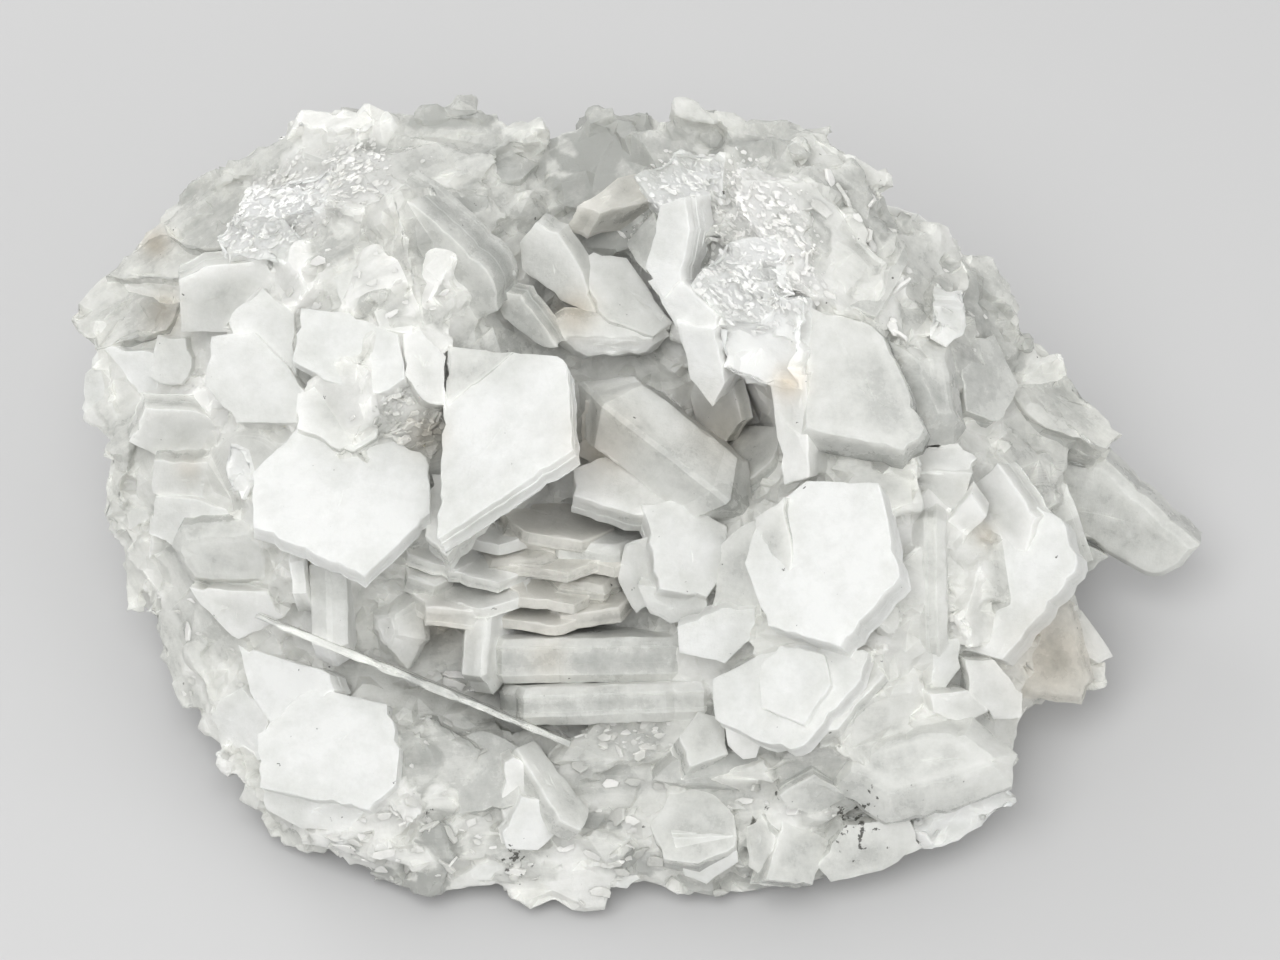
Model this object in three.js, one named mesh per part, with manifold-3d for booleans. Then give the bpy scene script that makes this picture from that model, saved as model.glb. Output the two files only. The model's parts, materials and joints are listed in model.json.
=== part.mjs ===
// Poker chip calcite: a hand specimen on which flat, six-sided calcite crystals stand at all angles, like
// spilled poker chips, on a broken mass of the same mineral. Everything has grown together, so it is one
// solid. Millimetres and degrees, +Z up. The specimen stands on its flat underside, and its origin is at the
// middle of its box, on that underside.
import * as THREE from "three";
import { ConvexGeometry } from "three/addons/geometries/ConvexGeometry.js";
import { mergeVertices } from "three/addons/utils/BufferGeometryUtils.js";
import Module from "manifold-3d";

const wasm = await Module();
wasm.setup();

// The crystals cover one side of the specimen, called its face. The face looks up and forward: it is tipped
// this far from level, about a line that runs across the specimen through this point. Places on the face are
// x across, y up the face and z out of it.
const FACE_TIP = 35;
const FACE_CENTRE = new THREE.Vector3(-0.3, -3.9, 28);

const MERGE_DISTANCE = 1e-3; // points closer than this are one
const TABLE_SIZE = 400;
const NO_BEVEL = [0, 0];
const UNEVENNESS = 0.08; // how much the sides of a six-sided chip vary, as a share of its half-width

const degrees = THREE.MathUtils.degToRad;

const face = new THREE.Matrix4()
  .makeTranslation(FACE_CENTRE)
  .multiply(new THREE.Matrix4().makeRotationX(degrees(FACE_TIP)));

// A share from 0 to 1 that is always the same for the same two counts.
function share(a, b) {
  const wave = Math.sin(a * 12.9898 + b * 78.233) * 43758.5453;
  return wave - Math.floor(wave);
}

// ---- The broken mass ----

// Its rim, seen square-on to the face, clockwise from the left.
const rim = [
  [-59, 10],
  [-60.5, 18],
  [-59, 25.5],
  [-54, 31.5],
  [-47.5, 37.2],
  [-39.4, 41.8],
  [-35, 44],
  [-30, 43.2],
  [-20.5, 43.8],
  [-13, 42],
  [-4, 42.6],
  [2, 42],
  [5, 43.8],
  [16, 42.2],
  [23.6, 39],
  [29.6, 33.4],
  [36.4, 30.6],
  [40, 25],
  [46, 18],
  [50, 12],
  [50, 5],
  [48, 0],
  [50, -6],
  [51.5, -12],
  [51.5, -20],
  [45.3, -23.5],
  [42.8, -31],
  [36.8, -37.4],
  [30, -40.2],
  [20, -43.2],
  [11.8, -43.7],
  [1.6, -43],
  [-8.6, -42.2],
  [-18.5, -41.5],
  [-25, -39.4],
  [-32.5, -37.4],
  [-38, -35.8],
  [-42, -33.5],
  [-46, -27.5],
  [-49, -20],
  [-53, -14],
  [-56, -8.5],
  [-58.6, -3],
  [-59.6, 3],
];
const RIM_LEVEL = -12; // how far out of the face the mass would stand with no swells
// Its swells and hollows: [x, y, height, reach].
const swells = [
  [-30, 6, 20, 20],
  [22, -8, 21, 20],
  [18, 30, 20, 18],
  [-25, 30, 13, 18],
  [27, 12, 7, 10],
  [42, -8, 6, 10],
  [3, 6, 3, 10],
  [11, 9, -12, 7],
  [0, -36, 13, 22],
  [-22, -38, 6, 14],
  [24, -38, 3, 14],
  [-35, -28, 9, 16],
  [30, -28, 6, 15],
  [-8, -6, -4, 12],
];
const RINGS_OF_FACE = [0.2, 0.42, 0.63, 0.82, 0.95]; // shares of the way from the middle to the rim
const ROUGHNESS = 1.1;
const SIDE_STEPS = [0, 0.45, 1]; // from the rim down to the underside
const SIDE_BULGE = 3;
const SIDE_ROUGHNESS = 3;
const FULL_BULGE_HEIGHT = 32; // a lower side bulges less
// The underside is the rim's plan drawn in by these shares across and along, and set back by this much.
const UNDERSIDE_SHARES = [0.84, 0.93];
const UNDERSIDE_SET_BACK = 3.3;

function massLevel(x, y) {
  return swells.reduce(
    (level, [cx, cy, height, reach]) =>
      level + height * Math.exp(-((x - cx) ** 2 + (y - cy) ** 2) / reach ** 2),
    RIM_LEVEL,
  );
}

// A rough surface from the middle of the face out to the rim, and from there down to the flat underside.
function massGeometry() {
  const middle = new THREE.Vector3(0, 0, massLevel(0, 0)).applyMatrix4(face);
  const rings = RINGS_OF_FACE.map((reach, r) =>
    rim.map(([x, y], i) => {
      const [px, py] = [x * reach, y * reach];
      const rough = ROUGHNESS * (2 * share(r + 1, i) - 1);
      return new THREE.Vector3(px, py, massLevel(px, py) + rough).applyMatrix4(face);
    }),
  );
  const edge = rim.map(([x, y]) => new THREE.Vector3(x, y, massLevel(x, y)).applyMatrix4(face));
  const foot = edge.map((top) => {
    const [across, along] = UNDERSIDE_SHARES;
    const x = FACE_CENTRE.x + across * (top.x - FACE_CENTRE.x);
    const y = FACE_CENTRE.y + along * (top.y - FACE_CENTRE.y) + UNDERSIDE_SET_BACK;
    return new THREE.Vector3(x, y, 0);
  });
  SIDE_STEPS.forEach((step, s) => {
    rings.push(
      edge.map((top, i) => {
        const swing = Math.sin(Math.PI * step) * Math.min(1, top.z / FULL_BULGE_HEIGHT);
        const rough = SIDE_ROUGHNESS * (2 * share(RINGS_OF_FACE.length + 1 + s, i) - 1);
        const out = swing * (SIDE_BULGE + rough);
        const outwards = new THREE.Vector3(top.x, top.y, 0).normalize();
        return top.clone().lerp(foot[i], step).addScaledVector(outwards, out);
      }),
    );
  });
  const under = new THREE.Vector3(0, 0, 0);
  const n = rim.length;
  const points = [middle, ...rings.flat(), under];
  const faces = [];
  const at = (ring, i) => 1 + ring * n + (i % n);
  for (let i = 0; i < n; i++) {
    faces.push(0, at(0, i + 1), at(0, i));
    for (let r = 0; r + 1 < rings.length; r++) {
      faces.push(at(r, i), at(r, i + 1), at(r + 1, i + 1));
      faces.push(at(r, i), at(r + 1, i + 1), at(r + 1, i));
    }
    faces.push(points.length - 1, at(rings.length - 1, i), at(rings.length - 1, i + 1));
  }
  return new THREE.BufferGeometry().setFromPoints(points).setIndex(faces);
}

// ---- The crystals ----

// Turns +Z so that it leans by an angle towards a bearing, counted from +X.
function leaning(lean, towards) {
  const bearing = degrees(towards);
  const hinge = new THREE.Vector3(-Math.sin(bearing), Math.cos(bearing), 0);
  return new THREE.Matrix4().makeRotationAxis(hinge, degrees(lean));
}

// The corners of a convex outline whose sides, given by bearing and distance from the middle, are all moved
// in by the same amount.
function outline(sides, inset) {
  const far = 4 * Math.max(...sides.map((side) => side.distance));
  let loop = [
    [-far, -far],
    [far, -far],
    [far, far],
    [-far, far],
  ];
  for (const { bearing, distance } of sides) {
    const [nx, ny] = [Math.cos(bearing), Math.sin(bearing)];
    const over = ([x, y]) => x * nx + y * ny - distance + inset;
    loop = loop.flatMap((from, k) => {
      const to = loop[(k + 1) % loop.length];
      const [a, b] = [over(from), over(to)];
      const t = a / (a - b);
      const crossing = [from[0] + t * (to[0] - from[0]), from[1] + t * (to[1] - from[1])];
      return [...(a <= 0 ? [from] : []), ...(a * b < 0 ? [crossing] : [])];
    });
  }
  return loop;
}

// The sides of a convex outline given by its corners, in either order.
function sidesThrough(corners) {
  return corners.map(([x, y], i) => {
    const [toX, toY] = corners[(i + 1) % corners.length];
    const bearing = Math.atan2(x - toX, toY - y);
    const distance = x * Math.cos(bearing) + y * Math.sin(bearing);
    return distance < 0 ? { bearing: bearing + Math.PI, distance: -distance } : { bearing, distance };
  });
}

// A geometry as a manifold-3d solid, moved by a matrix.
function solid(geometry, matrix) {
  const bare = geometry.clone().applyMatrix4(matrix);
  bare.deleteAttribute("normal");
  bare.deleteAttribute("uv");
  const merged = mergeVertices(bare, MERGE_DISTANCE);
  return new wasm.Manifold(
    new wasm.Mesh({
      numProp: 3,
      vertProperties: merged.attributes.position.array,
      triVerts: new Uint32Array(merged.index.array),
    }),
  );
}

// A chip as a convex solid whose cap is at z = 0 and whose base is below it. Its two rims may be cut back by
// a bevel: how far in, and how far down.
function chipSolid({ sides, thick, bevel = NO_BEVEL, place }) {
  const [inset, drop] = bevel;
  const rims = [
    [drop, 0],
    [thick - drop, 0],
  ];
  const caps = [
    [0, inset],
    [thick, inset],
  ];
  const levels = inset > 0 ? [...rims, ...caps] : rims;
  const points = levels.flatMap(([depth, cut]) =>
    outline(sides, cut).map(([x, y]) => new THREE.Vector3(x, y, -depth)),
  );
  return solid(new ConvexGeometry(points), place);
}

// A chip whose cap shows. Its corners are where they are seen square-on to the face, its cap's middle is z
// out of the face, and the cap leans towards a bearing.
function drawn({ corners, z, lean, towards, thick, bevel }) {
  const middle = [0, 1].map((k) => corners.reduce((sum, c) => sum + c[k], 0) / corners.length);
  const tilt = leaning(lean, towards);
  const [nx, ny, nz] = new THREE.Vector3(0, 0, 1).applyMatrix4(tilt);
  const flatten = tilt.clone().invert();
  const flat = corners.map((c) => {
    const [dx, dy] = [c[0] - middle[0], c[1] - middle[1]];
    const onCap = new THREE.Vector3(dx, dy, -(nx * dx + ny * dy) / nz).applyMatrix4(flatten);
    return [onCap.x, onCap.y];
  });
  const place = face
    .clone()
    .multiply(new THREE.Matrix4().makeTranslation(...middle, z))
    .multiply(tilt);
  return { sides: sidesThrough(flat), thick, bevel, place };
}

// A six-sided chip given by where the middle of its cap is, how the cap leans, the bearing of its first side,
// half its width across flats, its thickness and, where they are not alike, its sides' shares of that half.
function stood({ at, lean, towards, turn, half, thick, bevel, shares = [] }) {
  const sides = [0, 1, 2, 3, 4, 5].map((s) => ({
    bearing: degrees(turn + 60 * s),
    distance: half * (shares[s] ?? 1 + UNEVENNESS * (2 * share(at[0], s + at[1]) - 1)),
  }));
  const place = face
    .clone()
    .multiply(new THREE.Matrix4().makeTranslation(...at))
    .multiply(leaning(lean, towards));
  return { sides, thick, bevel, place };
}

// On the left swell.
const leftSwell = [
  { corners: [[-42.5, -2], [-43, 4], [-38, 9], [-28, 8], [-23, 6], [-22.8, -0.5], [-30, -7.5]],
    z: 12.5, lean: 24, towards: 90, thick: 3.5 },
  { corners: [[-21.2, 18.3], [-7.7, 17], [-6.8, 6.5], [-22, -3.5]],
    z: 14, lean: 28, towards: 115, thick: 4 },
  { corners: [[-48.7, 14], [-48, 19.5], [-43, 20], [-39, 16], [-37, 13], [-38, 9.5], [-45, 9.5]],
    z: 7, lean: 14, towards: 160, thick: 4 },
  { corners: [[-46, 22], [-42, 25], [-38.5, 22], [-38, 15], [-42, 15], [-45.5, 17.5]],
    z: 6, lean: 12, towards: 120, thick: 3 },
  { corners: [[-38.5, 16.5], [-37.5, 22.5], [-32, 22], [-26.5, 19.5],
      [-25.5, 14.5], [-28.5, 12.5], [-34, 14]],
    z: 11.5, lean: 16, towards: 110, thick: 3 },
  { corners: [[-38, 13], [-33.5, 14.8], [-28.5, 12.5], [-28.5, 9], [-33, 6.5], [-38, 9]],
    z: 11, lean: 20, towards: 100, thick: 3 },
  { corners: [[-33.5, 11], [-28.5, 11], [-28.8, 8], [-31.5, 6.2], [-33.8, 7.5]],
    z: 11.6, lean: 20, towards: 100, thick: 2 },
  { corners: [[-34, 26], [-31, 28], [-28, 27], [-27, 24], [-30, 21], [-33, 22]],
    z: 8, lean: 20, towards: 120, thick: 4 },
  { corners: [[-29.5, 22.5], [-27, 24.3], [-24.2, 21.5], [-25, 19.5], [-28.5, 20]],
    z: 10, lean: 25, towards: 60, thick: 3 },
  { corners: [[-26, 19.5], [-24, 20], [-21.3, 17], [-21.2, 11.5], [-24, 12], [-25.8, 15]],
    z: 11, lean: 15, towards: 60, thick: 4 },
  { corners: [[-23.5, -3], [-23, 4], [-17, 4], [-16, 0.5], [-21, -5.5]],
    z: 10.5, lean: 28, towards: 100, thick: 4 },
];
// Along the left edge.
const leftEdge = [
  { corners: [[-64.3, 11.4], [-63.7, 15.5], [-61.8, 18.7], [-55, 18], [-55, 8], [-60, 6.8]],
    z: -9, lean: 22, towards: 200, thick: 4 },
  { corners: [[-56, 15], [-54.8, 19.8], [-51.5, 19.5], [-50.5, 16], [-52, 14], [-54.5, 14]],
    z: -4.5, lean: 12, towards: 200, thick: 4 },
  { corners: [[-58, 7.5], [-55.8, 11.4], [-49, 11], [-46.7, 7.8], [-47.5, 4.8], [-54, 5.5]],
    z: -3, lean: 34, towards: 285, thick: 3.5 },
  { corners: [[-55.5, 1.5], [-55, 5.5], [-47, 5.2], [-46, 2.5], [-50, 0.5]],
    z: -2.5, lean: 30, towards: 262, thick: 4 },
  { corners: [[-60.3, 4.5], [-59.2, 7], [-55.3, 6], [-55.5, -1], [-58.4, -2.5]],
    z: -8, lean: 25, towards: 195, thick: 4 },
  { corners: [[-46.8, 1.5], [-46.5, 7.5], [-44, 6.5], [-43, 3], [-44.5, 1.5]],
    z: 3, lean: 35, towards: 200, thick: 5 },
  { corners: [[-56, -3], [-55, 1.5], [-50, 1], [-45.5, -0.5], [-47, -3], [-53, -4.5]],
    z: -3, lean: 22, towards: 225, thick: 5 },
  { corners: [[-52, 26], [-49, 27.5], [-42, 28], [-40, 24], [-46, 20], [-51.8, 20]],
    z: 0, lean: 22, towards: 280, thick: 5 },
];
// Below the left swell.
const belowLeftSwell = [
  { corners: [[-53.5, -5], [-52, -2.3], [-43.5, -1.7], [-41, -4], [-41, -8.5], [-43, -9.6], [-51, -9]],
    z: 0, lean: 26, towards: 255, thick: 5, bevel: [1.2, 1.6] },
  { corners: [[-42.8, -11.8], [-24.8, -19.2], [-7.4, -26.6], [-12, -27.5],
      [-24, -24], [-34, -21], [-46, -15]],
    z: 5.2, lean: 42, towards: 248, thick: 1 },
  { corners: [[-45.5, -15.5], [-34.5, -18.5], [-34, -20.5], [-41.5, -24.5], [-44, -21]],
    z: 1.5, lean: 28, towards: 165, thick: 4 },
  { corners: [[-43, -25.5], [-37.5, -20.4], [-35, -20.4], [-28, -22],
      [-26.5, -27], [-27, -31], [-30, -34], [-42.5, -31.5]],
    z: 5, lean: 12, towards: 120, thick: 6 },
  { corners: [[-48.8, -22.5], [-47.6, -27.6], [-42.5, -30.2], [-42, -23.5], [-45, -20]],
    z: -3, lean: 30, towards: 200, thick: 5 },
  { corners: [[-55, -9], [-49.5, -8.5], [-44.5, -17], [-43, -24], [-46, -25], [-52.2, -15]],
    z: -7, lean: 38, towards: 210, thick: 6 },
  { corners: [[-51, -9], [-42, -9.5], [-40, -12.5], [-45.5, -15.5], [-49, -12]],
    z: -1.5, lean: 25, towards: 245, thick: 5 },
  { corners: [[-31.5, -10.5], [-28, -9.6], [-25.4, -10], [-25, -15],
      [-27, -18.4], [-30, -17.5], [-31.4, -14]],
    z: 2.5, lean: 30, towards: 185, thick: 6, bevel: [2, 2.5] },
  { corners: [[-25, -11], [-21, -10.5], [-19.5, -12.5], [-24.6, -16.2]],
    z: -1, lean: 30, towards: 290, thick: 3 },
  { corners: [[-42.5, -31], [-30, -32.5], [-31, -36.7], [-38, -36.4], [-42.2, -34.3]],
    z: 2, lean: 24, towards: 250, thick: 5 },
  { corners: [[-33, -33], [-28, -32], [-24.5, -34], [-24.2, -38.5], [-28, -39.6], [-32.5, -37.8]],
    z: 1, lean: 24, towards: 265, thick: 6 },
];
// In the hollow between the swells.
const hollow = [
  { corners: [[0.5, 0.5], [5, 1], [10.3, -2], [10.6, -6.5], [8, -10], [2.6, -9]],
    z: 6.5, lean: 20, towards: 60, thick: 5 },
  { corners: [[0, -8.5], [8, -9.5], [8, -13], [3.8, -13.2], [1.5, -12]],
    z: 5.5, lean: 26, towards: 240, thick: 4 },
  { corners: [[-1.5, -4], [1.6, -3], [3, -10], [0, -12], [-2.3, -8.5]],
    z: 3.5, lean: 30, towards: 200, thick: 4 },
  { corners: [[-7, 1.5], [-7, 4.5], [-3.5, 6], [3.5, 3], [5.5, 0.5], [0, -1]],
    z: 4.2, lean: 30, towards: 80, thick: 4 },
  { corners: [[-6.8, 6], [-6, 12.5], [-3, 11], [3.5, 1.5], [-1, 1.5]],
    z: 3, lean: 40, towards: 220, thick: 4 },
];
// On the right swell.
const rightSwell = [
  { corners: [[19, 3.2], [27, 3], [29.2, -7.5], [22.5, -15.2], [14.5, -13], [12, -6], [13.5, -1]],
    z: 14.5, lean: 22, towards: 135, thick: 6 },
  { corners: [[8.4, -19], [8.7, -23.5], [14, -26], [18, -27], [25, -19], [26.3, -15.6], [16, -15]],
    z: 12.5, lean: 20, towards: 130, thick: 4 },
  { corners: [[13.5, -17.5], [13.8, -22], [18.6, -23.9], [21.7, -19.5], [21, -16], [16, -15]],
    z: 13.6, lean: 20, towards: 130, thick: 3 },
  { corners: [[19.5, -25.5], [22.5, -24.6], [27.8, -18.5], [26.2, -16], [22, -16]],
    z: 9.5, lean: 30, towards: 120, thick: 4 },
  { corners: [[4.5, -13.2], [4.8, -16.2], [10, -17.5], [13.4, -14], [13.4, -11], [9.5, -11]],
    z: 10, lean: 14, towards: 250, thick: 4 },
  { corners: [[8.5, -11], [9.5, -4], [12, -1.5], [14, -1], [14, -12], [9.5, -12]],
    z: 9, lean: 30, towards: 180, thick: 5 },
  { corners: [[24.6, -14.5], [28, -11.5], [31.8, -9.5], [32, -14.3], [26, -15.5]],
    z: 7, lean: 36, towards: 320, thick: 3.5 },
  { corners: [[27.3, -16], [31, -15.7], [31.2, -19.6], [27.4, -19]],
    z: 4, lean: 28, towards: 260, thick: 4 },
  { corners: [[25.5, -21], [27.5, -18.8], [32, -19.5], [32.8, -21], [28.5, -24], [26.2, -22.8]],
    z: 5, lean: 22, towards: 250, thick: 4 },
  { corners: [[31.4, -15], [36.5, -14.5], [36.8, -18], [34.8, -20.5], [32, -21], [31, -18]],
    z: 5.5, lean: 24, towards: 300, thick: 4 },
  { corners: [[36, -5], [39.5, 2], [42.5, 1.5], [48, -1],
      [50, -6.2], [46, -11.5], [41.2, -17], [36.8, -16]],
    z: 4, lean: 22, towards: 150, thick: 5 },
  { corners: [[37.4, 2], [40.8, 5.2], [45, -1], [44, -5], [39, -4]],
    z: 3, lean: 38, towards: 190, thick: 4 },
  { corners: [[35, -1.6], [37.5, 1.6], [39.6, -1], [36.6, -3.8]],
    z: 5.5, lean: 34, towards: 250, thick: 3 },
  { corners: [[41.8, -16.8], [43.5, -13.5], [48, -9.5], [50.5, -11], [53.2, -20], [51.6, -23], [44.5, -22]],
    z: -4, lean: 22, towards: 330, thick: 6, bevel: [1, 1] },
  { corners: [[50, -10], [53.4, -14.5], [55.2, -17.2], [53.4, -18], [50, -16]],
    z: -8, lean: 40, towards: 10, thick: 4 },
  { corners: [[37, -17], [40.5, -17], [44, -21], [44, -24], [40.5, -24], [37.5, -21]],
    z: 3, lean: 30, towards: 320, thick: 4 },
  { corners: [[33, -20.8], [37.5, -20.5], [40, -23], [37, -24.5], [33.5, -23]],
    z: 5, lean: 34, towards: 330, thick: 4 },
  { corners: [[17.8, 8.2], [18.5, 24], [28, 21], [31, 14.5], [33.2, 9], [32.5, 7], [30, 5.4], [22, 7]],
    z: 12, lean: 14, towards: 80, thick: 8, bevel: [1, 4] },
  { corners: [[28.5, 20], [36.6, 19.5], [38.6, 9.5], [37, 7.5], [32.5, 7.5], [29.5, 14]],
    z: 6, lean: 30, towards: 20, thick: 7, bevel: [2.5, 2.5] },
  { corners: [[30, 5], [33, 7], [36.4, 7.4], [38.7, 5.8], [37, 3.8], [31.5, 3.8]],
    z: 5, lean: 34, towards: 75, thick: 3 },
  { corners: [[28.2, 0.5], [29, 4.5], [38, 4], [37, 0.5], [34, -2.6], [29.5, -2.6]],
    z: 4.5, lean: 26, towards: 275, thick: 5 },
];
// Along the right edge.
const rightEdge = [
  { corners: [[40.2, 17], [43.8, 19.6], [46.2, 19.6], [56, 8.4], [54.4, 6.6], [47, 9], [43, 13]],
    z: -9, lean: 30, towards: 60, thick: 6 },
  { corners: [[42.5, 3.6], [45.5, 8.4], [54.4, 5.2], [65.6, -4.8], [63.6, -7.4], [60.4, -9], [48, -1.8]],
    z: -15, lean: 26, towards: 245, thick: 6, bevel: [0.8, 1.2] },
  { corners: [[47, -1], [55.4, -5.8], [52.6, -8], [49, -9]],
    z: -16, lean: 20, towards: 300, thick: 6 },
  { corners: [[36.5, 19], [41, 20], [44, 14], [41.5, 9.5], [37.5, 11]],
    z: -2, lean: 40, towards: 30, thick: 6 },
];
// Along the front.
const front = [
  { corners: [[-22.6, -27.5], [-17.5, -24.7], [-13, -27], [-13, -33.5], [-20.3, -34.6]],
    z: 3.5, lean: 18, towards: 130, thick: 5 },
  { corners: [[-14.8, -28.6], [-13.8, -27.6], [-8.5, -32.6], [-8, -37],
      [-11, -39], [-15, -38.5], [-15.2, -33]],
    z: 3.8, lean: 22, towards: 300, thick: 4 },
  { corners: [[-12.8, -32.4], [-9.8, -33], [-8.7, -36.6], [-11, -38.8], [-14.6, -38.4], [-15, -36.5]],
    z: 5.4, lean: 22, towards: 320, thick: 2.5 },
  { corners: [[-13.5, -27], [-11.5, -26], [-5, -34], [-6, -36.3], [-8.5, -35]],
    z: 5.5, lean: 45, towards: 45, thick: 3 },
  { corners: [[-19.6, -40], [-17.6, -38.4], [-15, -39], [-14.7, -42.4], [-18.6, -42.4]],
    z: 2, lean: 20, towards: 260, thick: 7 },
  { corners: [[-8.2, -42.2], [-5, -39.8], [-2, -39.4], [0.5, -42], [-1, -43.3], [-7, -43]],
    z: 2, lean: 24, towards: 265, thick: 4 },
  { corners: [[1.5, -35.5], [4.5, -31], [8, -31.4], [11.2, -34.5], [11.3, -38], [7, -40], [3, -39.5]],
    z: 5, lean: 22, towards: 100, thick: 5 },
  { corners: [[4, -37], [11, -36.8], [11.6, -40], [8, -42.6], [5.5, -41.6]],
    z: 4.6, lean: 30, towards: 280, thick: 4 },
  { corners: [[4.8, -25.5], [7, -22.8], [10, -23.3], [10.4, -27.5], [6, -29]],
    z: 7.5, lean: 30, towards: 60, thick: 4 },
  { corners: [[9.8, -23.5], [12.5, -23.8], [14.2, -26], [13.5, -28], [12, -28.2], [10.2, -26.6]],
    z: 9, lean: 24, towards: 260, thick: 4 },
  { corners: [[1.8, -31.5], [4, -29.2], [8, -28.6], [14, -28], [16.5, -30], [13, -33], [5, -32.5]],
    z: 6, lean: 36, towards: 275, thick: 5, bevel: [1.5, 1.5] },
  { corners: [[15.8, -32.3], [20, -29.8], [24, -32.3], [21, -34.4], [17, -34]],
    z: 6.5, lean: 36, towards: 285, thick: 4 },
  { corners: [[21, -27.5], [23, -25], [32, -22.6], [38, -22.8], [43, -27],
      [42.4, -30.6], [36, -33], [28, -34.8], [22, -31]],
    z: 8, lean: 14, towards: 95, thick: 8, bevel: [2.5, 3] },
  { corners: [[37, -31.5], [42, -30.8], [43.8, -33.5], [36.6, -37.6], [32.5, -38.8], [31.3, -35.4]],
    z: 1.5, lean: 34, towards: 300, thick: 6 },
  { corners: [[12.4, -36], [14, -34.4], [15.8, -37], [14.4, -42], [12.6, -40.5]],
    z: 4.5, lean: 30, towards: 190, thick: 4 },
  { corners: [[20.4, -40.5], [23.6, -35.4], [31, -35.2], [32.5, -38.5], [28, -41.2], [22, -42.5]],
    z: 3, lean: 24, towards: 290, thick: 5 },
  { corners: [[14.6, -41.8], [16.5, -35], [23, -35.5], [20, -42.5]],
    z: 4, lean: 30, towards: 20, thick: 4 },
];
// Over the crown, at the top of the face.
const crown = [
  { corners: [[-27.5, 36.6], [-22, 36.2], [-14, 30.2], [-13, 27], [-17, 27], [-24, 32]],
    z: 5, lean: 36, towards: 60, thick: 5, bevel: [1.5, 1.5] },
  { corners: [[-27.2, 35.4], [-24, 33.5], [-16, 26], [-15.3, 22], [-20, 20.6], [-24, 21.5]],
    z: 6.5, lean: 40, towards: 230, thick: 6 },
  { corners: [[-31, 34], [-27.2, 35.4], [-25, 27], [-23.6, 20.5], [-25.2, 20.3], [-29.6, 27], [-31, 29.5]],
    z: 7.5, lean: 50, towards: 195, thick: 6 },
  { corners: [[-13.2, 30], [-11.4, 32.4], [-8.8, 31], [-6.4, 27.5], [-4.4, 21.8], [-8.6, 23.4], [-13, 27]],
    z: 3.5, lean: 30, towards: 225, thick: 3.5 },
  { corners: [[-6.6, 28], [-4.8, 29.2], [-1, 28.5], [1.2, 25.5], [4.2, 21], [2, 19.4], [-4, 21.5]],
    z: 2.5, lean: 26, towards: 60, thick: 5 },
  { corners: [[-1.6, 30], [2, 33.8], [3, 30], [1, 26.5]],
    z: 2, lean: 40, towards: 150, thick: 4 },
  { corners: [[-16, 23.4], [-15, 24.5], [-13, 24], [-8.6, 18], [-10.5, 18], [-15, 21.5]],
    z: 4.5, lean: 40, towards: 220, thick: 3 },
  { corners: [[-10, 19.5], [-8, 20.8], [3.2, 20.5], [3.8, 18.5], [2, 16.4], [-6, 15.8], [-9, 17.3]],
    z: 3, lean: 40, towards: 275, thick: 5, bevel: [1.5, 1.8] },
  { corners: [[-24.3, 38.2], [-21, 41.2], [-14, 41.6], [-11, 40], [-13, 38], [-20, 37.3]],
    z: -2, lean: 45, towards: 80, thick: 5, bevel: [1, 1] },
  { corners: [[1, 27], [2.6, 34], [5.5, 34.8], [6, 31], [5, 25.5], [3, 23.2]],
    z: 10, lean: 30, towards: 190, thick: 6 },
  { corners: [[1.2, 25.5], [3.6, 27], [9, 21.5], [8.8, 19], [4.4, 20.4]],
    z: 9.5, lean: 30, towards: 200, thick: 7 },
  { corners: [[4.4, 21], [8.8, 20], [10, 14], [8.6, 11.4], [6, 14.5]],
    z: 9, lean: 34, towards: 220, thick: 6 },
  { corners: [[6.5, 25], [9.4, 30], [16, 30.5], [17, 24], [14, 20.5], [9, 20.5]],
    z: 11, lean: 20, towards: 150, thick: 5 },
  { corners: [[9, 22], [16, 24], [18.2, 23], [18.5, 13], [13.5, 13.5], [10, 14.8]],
    z: 11.5, lean: 24, towards: 200, thick: 6 },
  { corners: [[14.8, 14.5], [19, 15], [19.3, 3.5], [16.5, 2.5]],
    z: 11, lean: 30, towards: 190, thick: 8 },
];
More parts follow.
